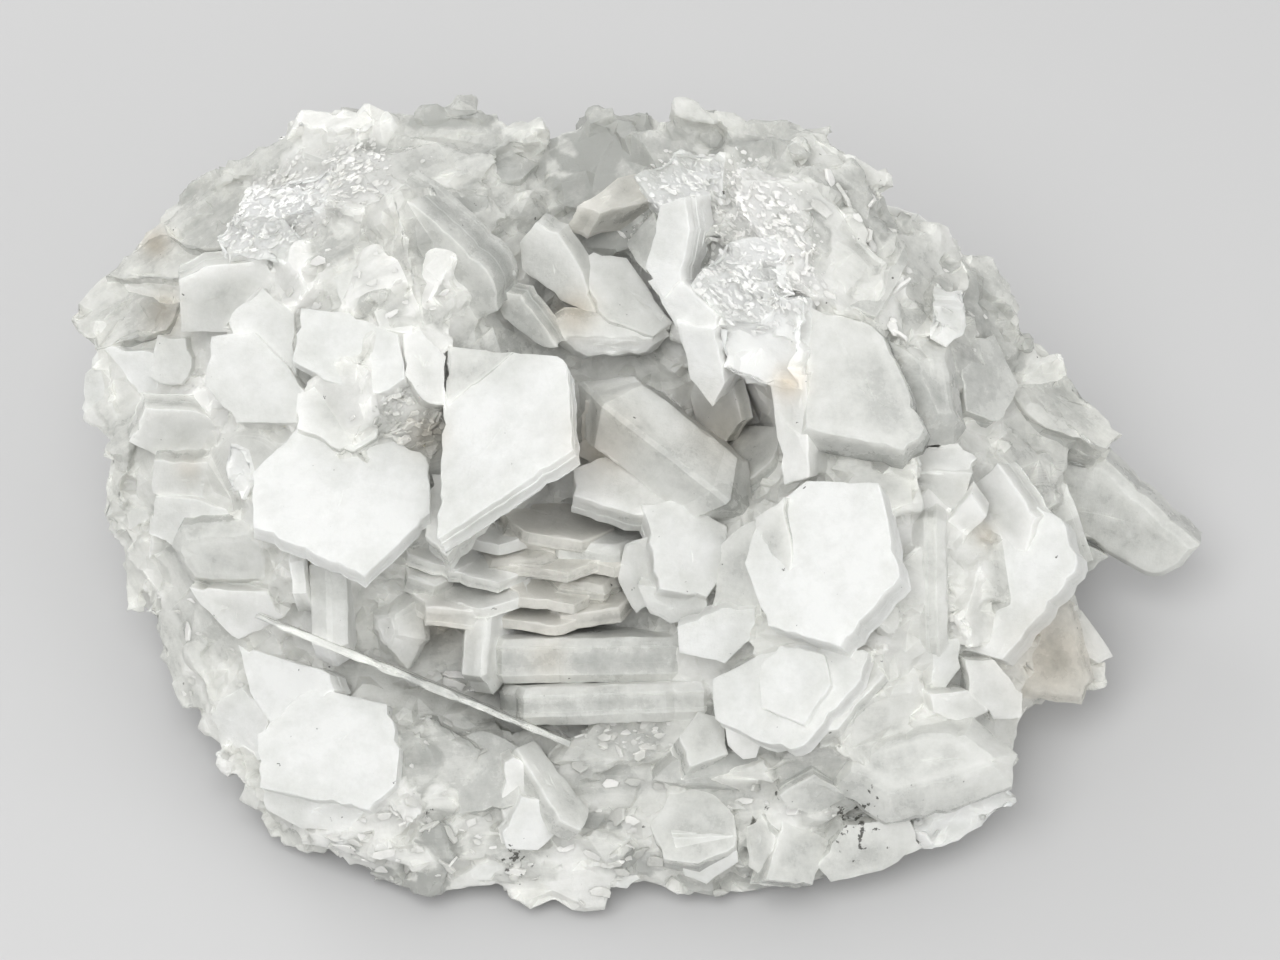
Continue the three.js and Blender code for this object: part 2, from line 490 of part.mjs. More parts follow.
// Chips on edge, between the swells.
const onEdge = [
  { at: [6.3, 10, 2.4], lean: 86, towards: 52, turn: 52, half: 11, thick: 9, bevel: [3.6, 4.2],
    shares: [1, 1, 1, 0.6, 1, 1] },
  { at: [-4.6, -13.8, -1], lean: 80, towards: 91, turn: 91, half: 12, thick: 5.2, bevel: [0.6, 1],
    shares: [1, 1, 1, 0.45, 1, 0.9] },
  { at: [-2.6, -19.4, 0], lean: 84, towards: 92, turn: 92, half: 11.5, thick: 4.4, bevel: [0.6, 1],
    shares: [1, 1, 1, 0.45, 1, 1] },
  { at: [-15.2, -15.5, 2], lean: 62, towards: 355, turn: 355, half: 5, thick: 3.6, bevel: [0.6, 0.6],
    shares: [1, 1, 1, 0.7, 1, 1] },
  { at: [-32.2, -10.8, 2.4], lean: 84, towards: 2, turn: 2, half: 6.2, thick: 4.2, bevel: [0.9, 1.8],
    shares: [1, 1, 1, 0.6, 1, 1] },
  { at: [-36.8, -7.4, 3], lean: 84, towards: 5, turn: 5, half: 3.4, thick: 1.8 },
  { at: [35.3, -8.2, 4.2], lean: 84, towards: 1, turn: 1, half: 8.2, thick: 3.8, bevel: [0.9, 1.2],
    shares: [1, 1, 1, 0.6, 1, 1] },
  { at: [-12.5, -3.4, -2], lean: 66, towards: 96, turn: 90, half: 6, thick: 2.6, bevel: [0.8, 0.9] },
  { at: [-5, -2, -2.5], lean: 68, towards: 84, turn: 84, half: 6, thick: 2.8, bevel: [0.8, 0.9] },
  { at: [-13, -6.5, -2], lean: 58, towards: 250, turn: 10, half: 5.5, thick: 2.4 },
  { at: [-5.5, -6, -2], lean: 62, towards: 82, turn: 82, half: 5.6, thick: 2.6, bevel: [0.8, 0.9] },
  { at: [-20, -8.6, 0], lean: 62, towards: 84, turn: 84, half: 6, thick: 2.6 },
  { at: [-5.5, -9.4, -2], lean: 66, towards: 98, turn: 98, half: 5.4, thick: 2 },
  { at: [-23.6, -6.6, 2], lean: 50, towards: 70, turn: 10, half: 3, thick: 2.4 },
  { at: [-13, -9.4, -2.5], lean: 64, towards: 275, turn: 275, half: 5.5, thick: 2.2 },
  { at: [12, 6, -2], lean: 60, towards: 130, turn: 10, half: 5, thick: 2 },
  { at: [9, 12, -3], lean: 50, towards: 200, turn: 10, half: 4, thick: 2 },
];
// Stubby crystals on the back and the ends, behind the face.
const blocksOfBack = [
  { at: [-30, 35, -22.5], lean: 112, towards: 103, turn: 10, half: 10, thick: 7 },
  { at: [5, 30.8, -29.4], lean: 118, towards: 83, turn: 0, half: 12, thick: 8 },
  { at: [32, 32, -20.5], lean: 102, towards: 59, turn: 20, half: 9, thick: 7 },
  { at: [-51, 13, -19], lean: 95, towards: 150, turn: 0, half: 8, thick: 7 },
  { at: [-57, -4, -12], lean: 77, towards: 178, turn: 15, half: 6, thick: 5 },
  { at: [50.5, 1, -18], lean: 90, towards: 22, turn: 10, half: 8, thick: 6 },
  { at: [18, 37.5, -15], lean: 84, towards: 84, turn: 10, half: 8, thick: 6 },
  { at: [-14, 38.6, -15], lean: 88, towards: 90, turn: 0, half: 8, thick: 6 },
  { at: [-38, 18.5, -33], lean: 105, towards: 129, turn: 25, half: 8, thick: 7 },
  { at: [26, 21, -37], lean: 116, towards: 69, turn: 0, half: 9, thick: 7 },
];
// Broken plates round the rim, and the rough lumps of the crown.
const brokenPlates = [
  { corners: [[-65.8, 22], [-64.2, 24.6], [-59.3, 28.8], [-51, 30], [-50, 26], [-54, 20.4], [-62.4, 18.2]],
    z: -9.5, lean: 26, towards: 130, thick: 5 },
  { corners: [[-61.8, 26.6], [-59.2, 29.2], [-54.4, 32.2], [-47, 31], [-49, 26]],
    z: -8, lean: 34, towards: 130, thick: 5 },
  { corners: [[-54.8, 33], [-50.6, 36.6], [-47.2, 38.4], [-41, 37], [-46, 30], [-52, 29.5]],
    z: -6.5, lean: 34, towards: 125, thick: 6 },
  { corners: [[-48.2, 38.6], [-44, 41.2], [-39.3, 43.2], [-37, 40], [-42, 36], [-46, 36]],
    z: -8, lean: 36, towards: 120, thick: 5 },
  { corners: [[-38.8, 43.6], [-35, 45], [-31, 44.2], [-24.5, 42.8], [-24, 39], [-33, 38.8], [-38, 40]],
    z: -4.5, lean: 42, towards: 95, thick: 6 },
  { corners: [[-46, 33], [-44, 36.5], [-36, 38.8], [-30.5, 38], [-31, 34.5], [-40, 33]],
    z: 0.5, lean: 30, towards: 100, thick: 6 },
  { corners: [[-48, 31], [-46, 34], [-40, 33], [-36, 29.5], [-40, 27.5], [-47, 28.5]],
    z: 1.5, lean: 22, towards: 120, thick: 6 },
  { corners: [[-6.6, 34.2], [-2, 37.6], [3, 39], [4, 35.5], [-4, 33.2]],
    z: 1, lean: 40, towards: 60, thick: 5 },
  { corners: [[2.8, 42.8], [5, 43.5], [16, 42.4], [23.4, 38.8], [18, 37], [4, 39]],
    z: -6, lean: 40, towards: 80, thick: 7 },
  { corners: [[0, 37.5], [5, 41], [14, 40], [17, 33], [8, 32.5], [3, 33.5]],
    z: 4, lean: 24, towards: 100, thick: 8 },
  { corners: [[18.5, 24.3], [16, 33], [22, 37], [28, 36], [31, 28], [27, 21.3]],
    z: 6, lean: 30, towards: 55, thick: 8 },
  { corners: [[27, 21], [28, 30], [35, 30.6], [38.6, 27], [36.8, 20], [31, 19.4]],
    z: 1, lean: 40, towards: 45, thick: 8 },
  { corners: [[33, 19], [33.4, 23], [36.8, 22.6], [37, 19.4], [35, 18.4]],
    z: 4.5, lean: 26, towards: 250, thick: 6 },
  { corners: [[29.4, 33], [36.2, 30.4], [38.4, 27.2], [34, 26], [29, 28]],
    z: -5, lean: 46, towards: 50, thick: 6 },
];

// ---- The specimen ----

const chips = [
  ...[leftSwell, leftEdge, belowLeftSwell, hollow, rightSwell, rightEdge, front, crown, brokenPlates]
    .flat()
    .map(drawn),
  ...[onEdge, blocksOfBack].flat().map(stood),
];

// Everything above the table that the specimen stands on, joined. Chips that close round a gap would seal it
// inside, so only the outer skin is kept.
function joined() {
  const mass = solid(massGeometry(), new THREE.Matrix4());
  const belowTable = new THREE.BoxGeometry(TABLE_SIZE, TABLE_SIZE, TABLE_SIZE);
  belowTable.translate(0, 0, -TABLE_SIZE / 2);
  const pieces = chips
    .map(chipSolid)
    .reduce((all, next) => all.add(next), mass)
    .subtract(solid(belowTable, new THREE.Matrix4()))
    .decompose();
  return pieces.sort((a, b) => b.volume() - a.volume())[0];
}

// A manifold-3d solid as a geometry.
function skinOf(body) {
  const { numProp, numVert, vertProperties, triVerts } = body.getMesh();
  const corners = new Float32Array(numVert * 3);
  for (let i = 0; i < numVert; i++) {
    corners.set(vertProperties.subarray(i * numProp, i * numProp + 3), i * 3);
  }
  const skin = new THREE.BufferGeometry()
    .setAttribute("position", new THREE.BufferAttribute(corners, 3))
    .setIndex(new THREE.BufferAttribute(triVerts, 1));
  skin.computeVertexNormals();
  return skin;
}

const calcite = new THREE.MeshStandardMaterial({ color: 0xe6e6e0, roughness: 0.5, metalness: 0 });
const cluster = new THREE.Mesh(skinOf(joined()), calcite);
cluster.name = "calcite_cluster";

const specimen = new THREE.Group();
specimen.add(cluster);

export default specimen;
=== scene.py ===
"""The finished look of a poker chip calcite specimen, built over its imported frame.

Flat six-sided calcite crystals stand at all angles, like spilled poker chips, on a broken mass of the same
mineral. Sizes are in millimetres on the specimen and are turned to metres only where a mesh is written.
"""

import json
import logging
import math
import random
from collections.abc import Iterator
from contextlib import contextmanager
from dataclasses import dataclass, field
from enum import Enum

import bmesh
import bpy
import numpy as np
from bpy.types import Collection, Material, Mesh, Node, NodeSocket, NodeTree, Object
from mathutils import Matrix, Vector, noise
from mathutils.bvhtree import BVHTree

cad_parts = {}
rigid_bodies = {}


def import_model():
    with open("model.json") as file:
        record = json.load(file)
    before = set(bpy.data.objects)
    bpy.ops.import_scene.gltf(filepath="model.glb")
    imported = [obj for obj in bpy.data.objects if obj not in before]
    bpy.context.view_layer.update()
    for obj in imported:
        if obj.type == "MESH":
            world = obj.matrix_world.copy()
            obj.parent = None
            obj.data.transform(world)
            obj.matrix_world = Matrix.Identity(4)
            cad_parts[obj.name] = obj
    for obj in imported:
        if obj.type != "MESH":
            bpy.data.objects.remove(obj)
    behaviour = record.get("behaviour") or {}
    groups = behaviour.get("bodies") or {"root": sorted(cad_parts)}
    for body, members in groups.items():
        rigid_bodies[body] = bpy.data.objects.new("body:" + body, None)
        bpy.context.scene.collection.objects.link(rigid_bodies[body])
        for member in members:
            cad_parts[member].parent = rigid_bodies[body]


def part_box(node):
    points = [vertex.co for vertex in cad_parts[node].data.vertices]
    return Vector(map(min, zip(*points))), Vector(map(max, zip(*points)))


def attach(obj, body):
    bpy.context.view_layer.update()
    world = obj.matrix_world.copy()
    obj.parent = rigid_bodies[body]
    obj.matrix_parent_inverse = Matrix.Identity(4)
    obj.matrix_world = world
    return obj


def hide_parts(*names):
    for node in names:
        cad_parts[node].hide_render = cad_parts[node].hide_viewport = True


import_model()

log = logging.getLogger("calcite")

NODE = "calcite_cluster"
MM = 0.001

# The crystals cover one side of the specimen, called its face. The face looks up and forward: it is tipped
# this far from level, about a line that runs across the specimen through this point. Places on the face are
# x across, y up the face and z out of it.
FACE_TIP = 35
FACE_CENTRE = (-0.3, -3.9, 28)

Colour = tuple[float, float, float, float]
Place = tuple[float, float, float]
Pairs = list[tuple[float, float]]
Face = tuple[int, ...]


class Look(Enum):
    """How a crystal's surface looks."""

    SNOW = "snow white, frosted all over"
    MILKY = "whitish"
    PALE = "milky white with greyer rims"
    HAZY = "between milky and grey"
    GREY = "grey and translucent"
    DUSK = "dark grey, the clearest"
    SMOKE = "darker, with a brown cast"
    CRUMBLED = "white and broken"
    SHALY = "grey, split into thin streaks"
    MATRIX = "the broken mass between the crystals"


SNOW, MILKY, PALE, HAZY, GREY, DUSK, SMOKE, CRUMBLED, SHALY, MATRIX = Look


@dataclass(frozen=True)
class Tone:
    """What a look means for the finish.

    Args:
        milk: how white the crystal is, from 0, clear and grey, to 1, snow white.
        warmth: how brown its grey parts are, from 0 to 1.
        crumble: how broken its surface is, in millimetres of relief.
    """

    milk: float
    warmth: float
    crumble: float


TONES = {
    SNOW: Tone(milk=0.93, warmth=0.0, crumble=0.03),
    MILKY: Tone(milk=0.82, warmth=0.02, crumble=0.04),
    PALE: Tone(milk=0.68, warmth=0.05, crumble=0.05),
    HAZY: Tone(milk=0.55, warmth=0.05, crumble=0.04),
    GREY: Tone(milk=0.42, warmth=0.05, crumble=0.04),
    DUSK: Tone(milk=0.24, warmth=0.05, crumble=0.04),
    SMOKE: Tone(milk=0.5, warmth=0.3, crumble=0.05),
    CRUMBLED: Tone(milk=0.9, warmth=0.0, crumble=0.35),
    SHALY: Tone(milk=0.3, warmth=0.1, crumble=0.22),
    MATRIX: Tone(milk=0.5, warmth=0.08, crumble=0.3),
}
WHITISH = 0.7  # the milk past which a crystal counts as white
NO_RIM = 3.0  # how far from a rim a place that has none counts as, in millimetres
CROWN_FOOT = 5  # how far up the face the crown starts
FLANK_END = -38  # how far across the face the left flank ends


# ---- Shaping helpers ----


def share(a: float, b: float) -> float:
    """Gives a share from 0 to 1 that is always the same for the same two counts."""
    wave = math.sin(a * 12.9898 + b * 78.233) * 43758.5453
    return wave - math.floor(wave)


def smooth(low: float, high: float, value: np.ndarray | float) -> np.ndarray | float:
    """Runs from 0 at low to 1 at high, easing in and out."""
    t = np.clip((value - low) / (high - low), 0.0, 1.0)
    return t * t * (3 - 2 * t)


def leaning(lean: float, towards: float) -> Matrix:
    """Turns +Z so that it leans by an angle towards a bearing, counted from +X.

    Args:
        lean: the angle, in degrees.
        towards: the bearing, in degrees.

    Returns:
        The turn, as a 4x4 matrix.
    """
    bearing = math.radians(towards)
    hinge = Vector((-math.sin(bearing), math.cos(bearing), 0))
    return Matrix.Rotation(math.radians(lean), 4, hinge)


def face_matrix() -> Matrix:
    """Gives the place of the specimen's face, in millimetres."""
    return Matrix.Translation(FACE_CENTRE) @ Matrix.Rotation(math.radians(FACE_TIP), 4, "X")


def moved(points: np.ndarray, matrix: Matrix) -> np.ndarray:
    """Moves points, one a row, by a 4x4 matrix."""
    m = np.array(matrix)
    return points @ m[:3, :3].T + m[:3, 3]


def on_face(points: np.ndarray) -> np.ndarray:
    """Gives where points of the specimen, one a row, are on its face."""
    return moved(points, face_matrix().inverted())


def turned(place: np.ndarray, bearing: np.ndarray | float) -> tuple[np.ndarray, np.ndarray]:
    """Measures places along and across a bearing.

    Args:
        place: the places, one a row, as x and y.
        bearing: the bearing, in degrees.

    Returns:
        How far along the bearing each is, and how far across.
    """
    turn = np.radians(bearing)
    x, y = place[:, 0], place[:, 1]
    return x * np.cos(turn) + y * np.sin(turn), y * np.cos(turn) - x * np.sin(turn)


def lumps(places: np.ndarray, scale: float, layer: float) -> np.ndarray:
    """Reads a noise at flat places.

    Args:
        places: the places, one a row, as x and y.
        scale: how fine the noise is.
        layer: a number that sets this noise apart from others.

    Returns:
        The noise at each place, from about -1 to 1.
    """
    return np.array([noise.noise(Vector((x * scale, y * scale, layer))) for x, y in places])


def ring_faces(rings: list[int], count: int) -> list[Face]:
    """Joins rings of the same number of points, one after another, with quads that face outwards.

    Args:
        rings: the index of each ring's first point, from the cap down.
        count: how many points each ring has.

    Returns:
        The quads.
    """
    quads = []
    for upper, lower in zip(rings, rings[1:]):
        for i in range(count):
            j = (i + 1) % count
            quads.append((upper + i, lower + i, lower + j, upper + j))
    return quads


def solid_object(name: str, points: np.ndarray, faces: list[Face]) -> Object:
    """Makes a mesh object from points in millimetres.

    Args:
        name: the object's name.
        points: its points, one a row.
        faces: its faces, as indices of points.

    Returns:
        The object, which is in no collection yet.
    """
    mesh = bpy.data.meshes.new(name)
    mesh.from_pydata((points * MM).tolist(), [], faces)
    return bpy.data.objects.new(name, mesh)


def in_scene(name: str, data: bpy.types.ID) -> Object:
    """Makes an object and puts it in the scene.

    Args:
        name: the object's name.
        data: its mesh, light or camera.

    Returns:
        The object.
    """
    made = bpy.data.objects.new(name, data)
    bpy.context.scene.collection.objects.link(made)
    return made


def join_into(first: Object, others: list[Object]) -> None:
    """Joins the meshes of other objects into the first one's."""
    with bpy.context.temp_override(active_object=first, selected_editable_objects=[first, *others]):
        bpy.ops.object.join()


def evaluated_mesh(made: Object) -> Mesh:
    """Gives an object's mesh as its modifiers shape it, as a plain mesh."""
    shown = made.evaluated_get(bpy.context.evaluated_depsgraph_get())
    return bpy.data.meshes.new_from_object(shown)


def read(rows: bpy.types.bpy_prop_collection, name: str, width: int) -> np.ndarray:
    """Reads a value of every row of a mesh's data.

    Args:
        rows: the data, such as the mesh's points.
        name: the value's name.
        width: how many numbers the value has.

    Returns:
        The values, one a row.
    """
    values = np.zeros(len(rows) * width)
    rows.foreach_get(name, values)
    return values.reshape(-1, width)


def points_of(mesh: Mesh) -> np.ndarray:
    """Gives a mesh's points in millimetres, one a row."""
    return read(mesh.vertices, "co", 3) / MM


def move_points(mesh: Mesh, points: np.ndarray) -> None:
    """Moves a mesh's points to other places, given in millimetres."""
    mesh.vertices.foreach_set("co", (points * MM).ravel())
    mesh.update()


def normals_of(mesh: Mesh) -> np.ndarray:
    """Gives the way that a mesh's points face, one a row."""
    return read(mesh.vertices, "normal", 3)


def corners_of(mesh: Mesh) -> np.ndarray:
    """Gives the point that each face corner of a mesh is on."""
    return read(mesh.loops, "vertex_index", 1)[:, 0].astype(int)


def values_of(mesh: Mesh, name: str) -> np.ndarray:
    """Reads a number that a mesh carries on its points or corners."""
    return read(mesh.attributes[name].data, "value", 1)[:, 0]


def set_values(mesh: Mesh, name: str, values: np.ndarray, domain: str) -> None:
    """Writes a number that a mesh carries.

    Args:
        mesh: the mesh.
        name: what the number is called.
        values: the numbers, one a point or corner.
        domain: POINT or CORNER.
    """
    layer = mesh.attributes.get(name) or mesh.attributes.new(name, "FLOAT", domain)
    layer.data.foreach_set("value", values.astype(np.float32))


def set_local(mesh: Mesh, local: np.ndarray) -> None:
    """Writes where each point is in the solid's own frame, from which its streaks are drawn."""
    layer = mesh.attributes.get("local") or mesh.attributes.new("local", "FLOAT_VECTOR", "CORNER")
    layer.data.foreach_set("vector", local[corners_of(mesh)].astype(np.float32).ravel())


@contextmanager
def opened(mesh: Mesh) -> Iterator[bmesh.types.BMesh]:
    """Opens a mesh for work on its points and faces, and writes it back.

    Args:
        mesh: the mesh.

    Yields:
        The opened mesh.
    """
    shape = bmesh.new()
    shape.from_mesh(mesh)
    yield shape
    shape.to_mesh(mesh)
    shape.free()


def dress(mesh: Mesh, local: np.ndarray, milk: np.ndarray, rim: np.ndarray, tone: Tone) -> None:
    """Writes all that the finish reads.

    Args:
        mesh: the solid's mesh.
        local: each point in the solid's own frame.
        milk: how white each point is.
        rim: how far each point is from the rim of its face.
        tone: the look's tone.
    """
    corners = corners_of(mesh)
    set_local(mesh, local)
    set_values(mesh, "milk", milk[corners], "CORNER")
    set_values(mesh, "rim", rim[corners], "CORNER")
    set_values(mesh, "warmth", np.full(len(corners), tone.warmth), "CORNER")
    set_values(mesh, "crumble", np.full(len(mesh.vertices), tone.crumble), "POINT")


def along_streaks(place: np.ndarray) -> np.ndarray:
    """Turns places on the face so that the streaks of the broken parts run along x.

    Args:
        place: the places, one a row.

    Returns:
        The same places, each turned by the bearing of the streaks there.
    """
    left, upper = place[:, 0] < 0, place[:, 1] > CROWN_FOOT
    crown = np.where(left, 35, -38)
    front = np.where(place[:, 0] < FLANK_END, -60, 5)
    along, across = turned(place, np.where(upper, crown, front))
    return np.column_stack([along, across, place[:, 2]])


class NodeBoard:
    """A node tree, with short ways to add nodes to it and link them."""

    def __init__(self, tree: NodeTree) -> None:
        """Starts on a tree."""
        self.tree = tree

    def feed(self, socket: NodeSocket, value: object) -> None:
        """Links a socket from another socket, or sets it to a value.

        Args:
            socket: the socket.
            value: what it is linked from or set to.
        """
        if isinstance(value, NodeSocket):
            self.tree.links.new(value, socket)
        else:
            socket.default_value = value

    def add(self, kind: str, given: dict[str, object], **settings: object) -> Node:
        """Adds a node.

        Args:
            kind: the node's type.
            given: sockets to link from, or values to set, by the input's identifier.
            settings: the node's own settings.

        Returns:
            The node.
        """
        node = self.tree.nodes.new(kind)
        for name, value in settings.items():
            setattr(node, name, value)
        inputs = {socket.identifier: socket for socket in node.inputs}
        for name, value in given.items():
            self.feed(inputs[name], value)
        return node

    def math(self, operation: str, *values: object) -> NodeSocket:
        """Adds a sum.

        Args:
            operation: the kind of sum.
            values: what goes in, as sockets or numbers.

        Returns:
            The result.
        """
        node = self.add("ShaderNodeMath", {}, operation=operation)
        for socket, value in zip(node.inputs, values):
            self.feed(socket, value)
        return node.outputs[0]


# ---- The crystals ----

UNEVENNESS = 0.08  # how much the sides of a six-sided chip vary, as a share of its half-width


@dataclass
class Blank:
    """A chip before it is worked: its outline's sides, its thickness and its place.

    Args:
        sides: each side's bearing, in radians, and its distance from the middle.
        thick: the thickness.
        bevel: how far in and how far down the two rims are cut back.
        place: where the middle of the cap is and which way it faces.
        look: how the crystal looks.
    """

    sides: Pairs
    thick: float
    bevel: tuple[float, float]
    place: Matrix
    look: Look

    def corners(self) -> Pairs:
        """Finds where the sides meet.

        Returns:
            The outline's corners, anticlockwise.
        """
        far = 4 * max(distance for _, distance in self.sides)
        loop = [(-far, -far), (far, -far), (far, far), (-far, far)]
        for bearing, distance in self.sides:
            nx, ny = math.cos(bearing), math.sin(bearing)
            kept = []
            for (ax, ay), (bx, by) in zip(loop, loop[1:] + loop[:1]):
                a = ax * nx + ay * ny - distance
                b = bx * nx + by * ny - distance
                if a <= 0:
                    kept.append((ax, ay))
                if a * b < 0:
                    t = a / (a - b)
                    kept.append((ax + t * (bx - ax), ay + t * (by - ay)))
            loop = kept
        return loop


def sides_through(corners: Pairs) -> Pairs:
    """Gives the sides of a convex outline.

    Args:
        corners: its corners, in either order.

    Returns:
        Each side's bearing, in radians, and its distance from the middle.
    """
    sides = []
    for (x, y), (to_x, to_y) in zip(corners, corners[1:] + corners[:1]):
        bearing = math.atan2(x - to_x, to_y - y)
        distance = x * math.cos(bearing) + y * math.sin(bearing)
        if distance < 0:
            bearing, distance = bearing + math.pi, -distance
        sides.append((bearing, distance))
    return sides


@dataclass
class Drawn:
    """A chip whose cap shows.

    Args:
        corners: the cap's corners, where they are seen square-on to the face.
        look: how the crystal looks.
        z: how far the cap's middle stands out of the face.
        lean: how far the cap leans and the bearing that it leans towards, in degrees.
        thick: the thickness.
        bevel: how far in and how far down the two rims are cut back.
    """

    corners: Pairs
    look: Look
    z: float
    lean: tuple[float, float]
    thick: float = 4
    bevel: tuple[float, float] = (0, 0)

    def blank(self) -> Blank:
        """Works out the chip's true outline and its place.

        Returns:
            The blank.
        """
        middle = [sum(corner[k] for corner in self.corners) / len(self.corners) for k in (0, 1)]
        tilt = leaning(*self.lean)
        normal = tilt @ Vector((0, 0, 1))
        flatten = tilt.inverted()
        flat = []
        for x, y in self.corners:
            dx, dy = x - middle[0], y - middle[1]
            on_cap = flatten @ Vector((dx, dy, -(normal.x * dx + normal.y * dy) / normal.z))
            flat.append((on_cap.x, on_cap.y))
        place = face_matrix() @ Matrix.Translation((*middle, self.z)) @ tilt
        return Blank(sides_through(flat), self.thick, self.bevel, place, self.look)


@dataclass
class Stood:
    """A six-sided chip given by its middle.

    Args:
        at: where the middle of its cap is.
        look: how the crystal looks.
        lean: how far the cap leans and the bearing that it leans towards, in degrees.
        half: half its width across flats.
        thick: the thickness.
        turn: the bearing of its first side, in degrees; without one it is the lean's.
        bevel: how far in and how far down the two rims are cut back.
        shares: its sides' shares of half, where they are not alike.
    """

    at: Place
    look: Look
    lean: tuple[float, float]
    half: float
    thick: float
    turn: float | None = None
    bevel: tuple[float, float] = (0, 0)
    shares: tuple[float, ...] = ()

    def blank(self) -> Blank:
        """Works out the chip's outline and its place.

        Returns:
            The blank.
        """
        first = self.lean[1] if self.turn is None else self.turn
        sides = []
        for s in range(6):
            spread = 1 + UNEVENNESS * (2 * share(self.at[0], s + self.at[1]) - 1)
            part = self.shares[s] if self.shares else spread
            sides.append((math.radians(first + 60 * s), self.half * part))
        place = face_matrix() @ Matrix.Translation(self.at) @ leaning(*self.lean)
        return Blank(sides, self.thick, self.bevel, place, self.look)


# Chips on the left swell.
LEFT_SWELL = [
    Drawn([(-42.5, -2), (-43, 4), (-38, 9), (-28, 8), (-23, 6), (-22.8, -0.5), (-30, -7.5)],
        SNOW, z=12.5, lean=(24, 90), thick=3.5),
    Drawn([(-21.2, 18.3), (-7.7, 17), (-6.8, 6.5), (-22, -3.5)], SNOW, z=14, lean=(28, 115)),
    Drawn([(-48.7, 14), (-48, 19.5), (-43, 20), (-39, 16), (-37, 13), (-38, 9.5), (-45, 9.5)],
        MILKY, z=7, lean=(14, 160)),
    Drawn([(-46, 22), (-42, 25), (-38.5, 22), (-38, 15), (-42, 15), (-45.5, 17.5)],
        MILKY, z=6, lean=(12, 120), thick=3),
    Drawn([(-38.5, 16.5), (-37.5, 22.5), (-32, 22), (-26.5, 19.5), (-25.5, 14.5), (-28.5, 12.5), (-34, 14)],
        SNOW, z=11.5, lean=(16, 110), thick=3),
    Drawn([(-38, 13), (-33.5, 14.8), (-28.5, 12.5), (-28.5, 9), (-33, 6.5), (-38, 9)],
        PALE, z=11, lean=(20, 100), thick=3),
    Drawn([(-33.5, 11), (-28.5, 11), (-28.8, 8), (-31.5, 6.2), (-33.8, 7.5)],
        PALE, z=11.6, lean=(20, 100), thick=2),
    Drawn([(-34, 26), (-31, 28), (-28, 27), (-27, 24), (-30, 21), (-33, 22)], MILKY, z=8, lean=(20, 120)),
    Drawn([(-29.5, 22.5), (-27, 24.3), (-24.2, 21.5), (-25, 19.5), (-28.5, 20)],
        HAZY, z=10, lean=(25, 60), thick=3),
    Drawn([(-26, 19.5), (-24, 20), (-21.3, 17), (-21.2, 11.5), (-24, 12), (-25.8, 15)],
        PALE, z=11, lean=(15, 60)),
    Drawn([(-23.5, -3), (-23, 4), (-17, 4), (-16, 0.5), (-21, -5.5)], PALE, z=10.5, lean=(28, 100)),
    Drawn([(-21, 18.2), (-13.5, 17.6), (-16, 15.5), (-21, 11.5)], HAZY, z=10.6, lean=(28, 115), thick=2),
]

# Chips along the left edge.
LEFT_EDGE = [
    Drawn([(-64.3, 11.4), (-63.7, 15.5), (-61.8, 18.7), (-55, 18), (-55, 8), (-60, 6.8)],
        SNOW, z=-9, lean=(22, 200)),
    Drawn([(-56, 15), (-54.8, 19.8), (-51.5, 19.5), (-50.5, 16), (-52, 14), (-54.5, 14)],
        MILKY, z=-4.5, lean=(12, 200)),
    Drawn([(-58, 7.5), (-55.8, 11.4), (-49, 11), (-46.7, 7.8), (-47.5, 4.8), (-54, 5.5)],
        PALE, z=-3, lean=(34, 285), thick=3.5),
    Drawn([(-55.5, 1.5), (-55, 5.5), (-47, 5.2), (-46, 2.5), (-50, 0.5)], HAZY, z=-2.5, lean=(30, 262)),
    Drawn([(-60.3, 4.5), (-59.2, 7), (-55.3, 6), (-55.5, -1), (-58.4, -2.5)], GREY, z=-8, lean=(25, 195)),
    Drawn([(-46.8, 1.5), (-46.5, 7.5), (-44, 6.5), (-43, 3), (-44.5, 1.5)],
        CRUMBLED, z=3, lean=(35, 200), thick=5),
    Drawn([(-56, -3), (-55, 1.5), (-50, 1), (-45.5, -0.5), (-47, -3), (-53, -4.5)],
        MILKY, z=-3, lean=(22, 225), thick=5),
    Drawn([(-52, 26), (-49, 27.5), (-42, 28), (-40, 24), (-46, 20), (-51.8, 20)],
        HAZY, z=0, lean=(22, 280), thick=5),
]

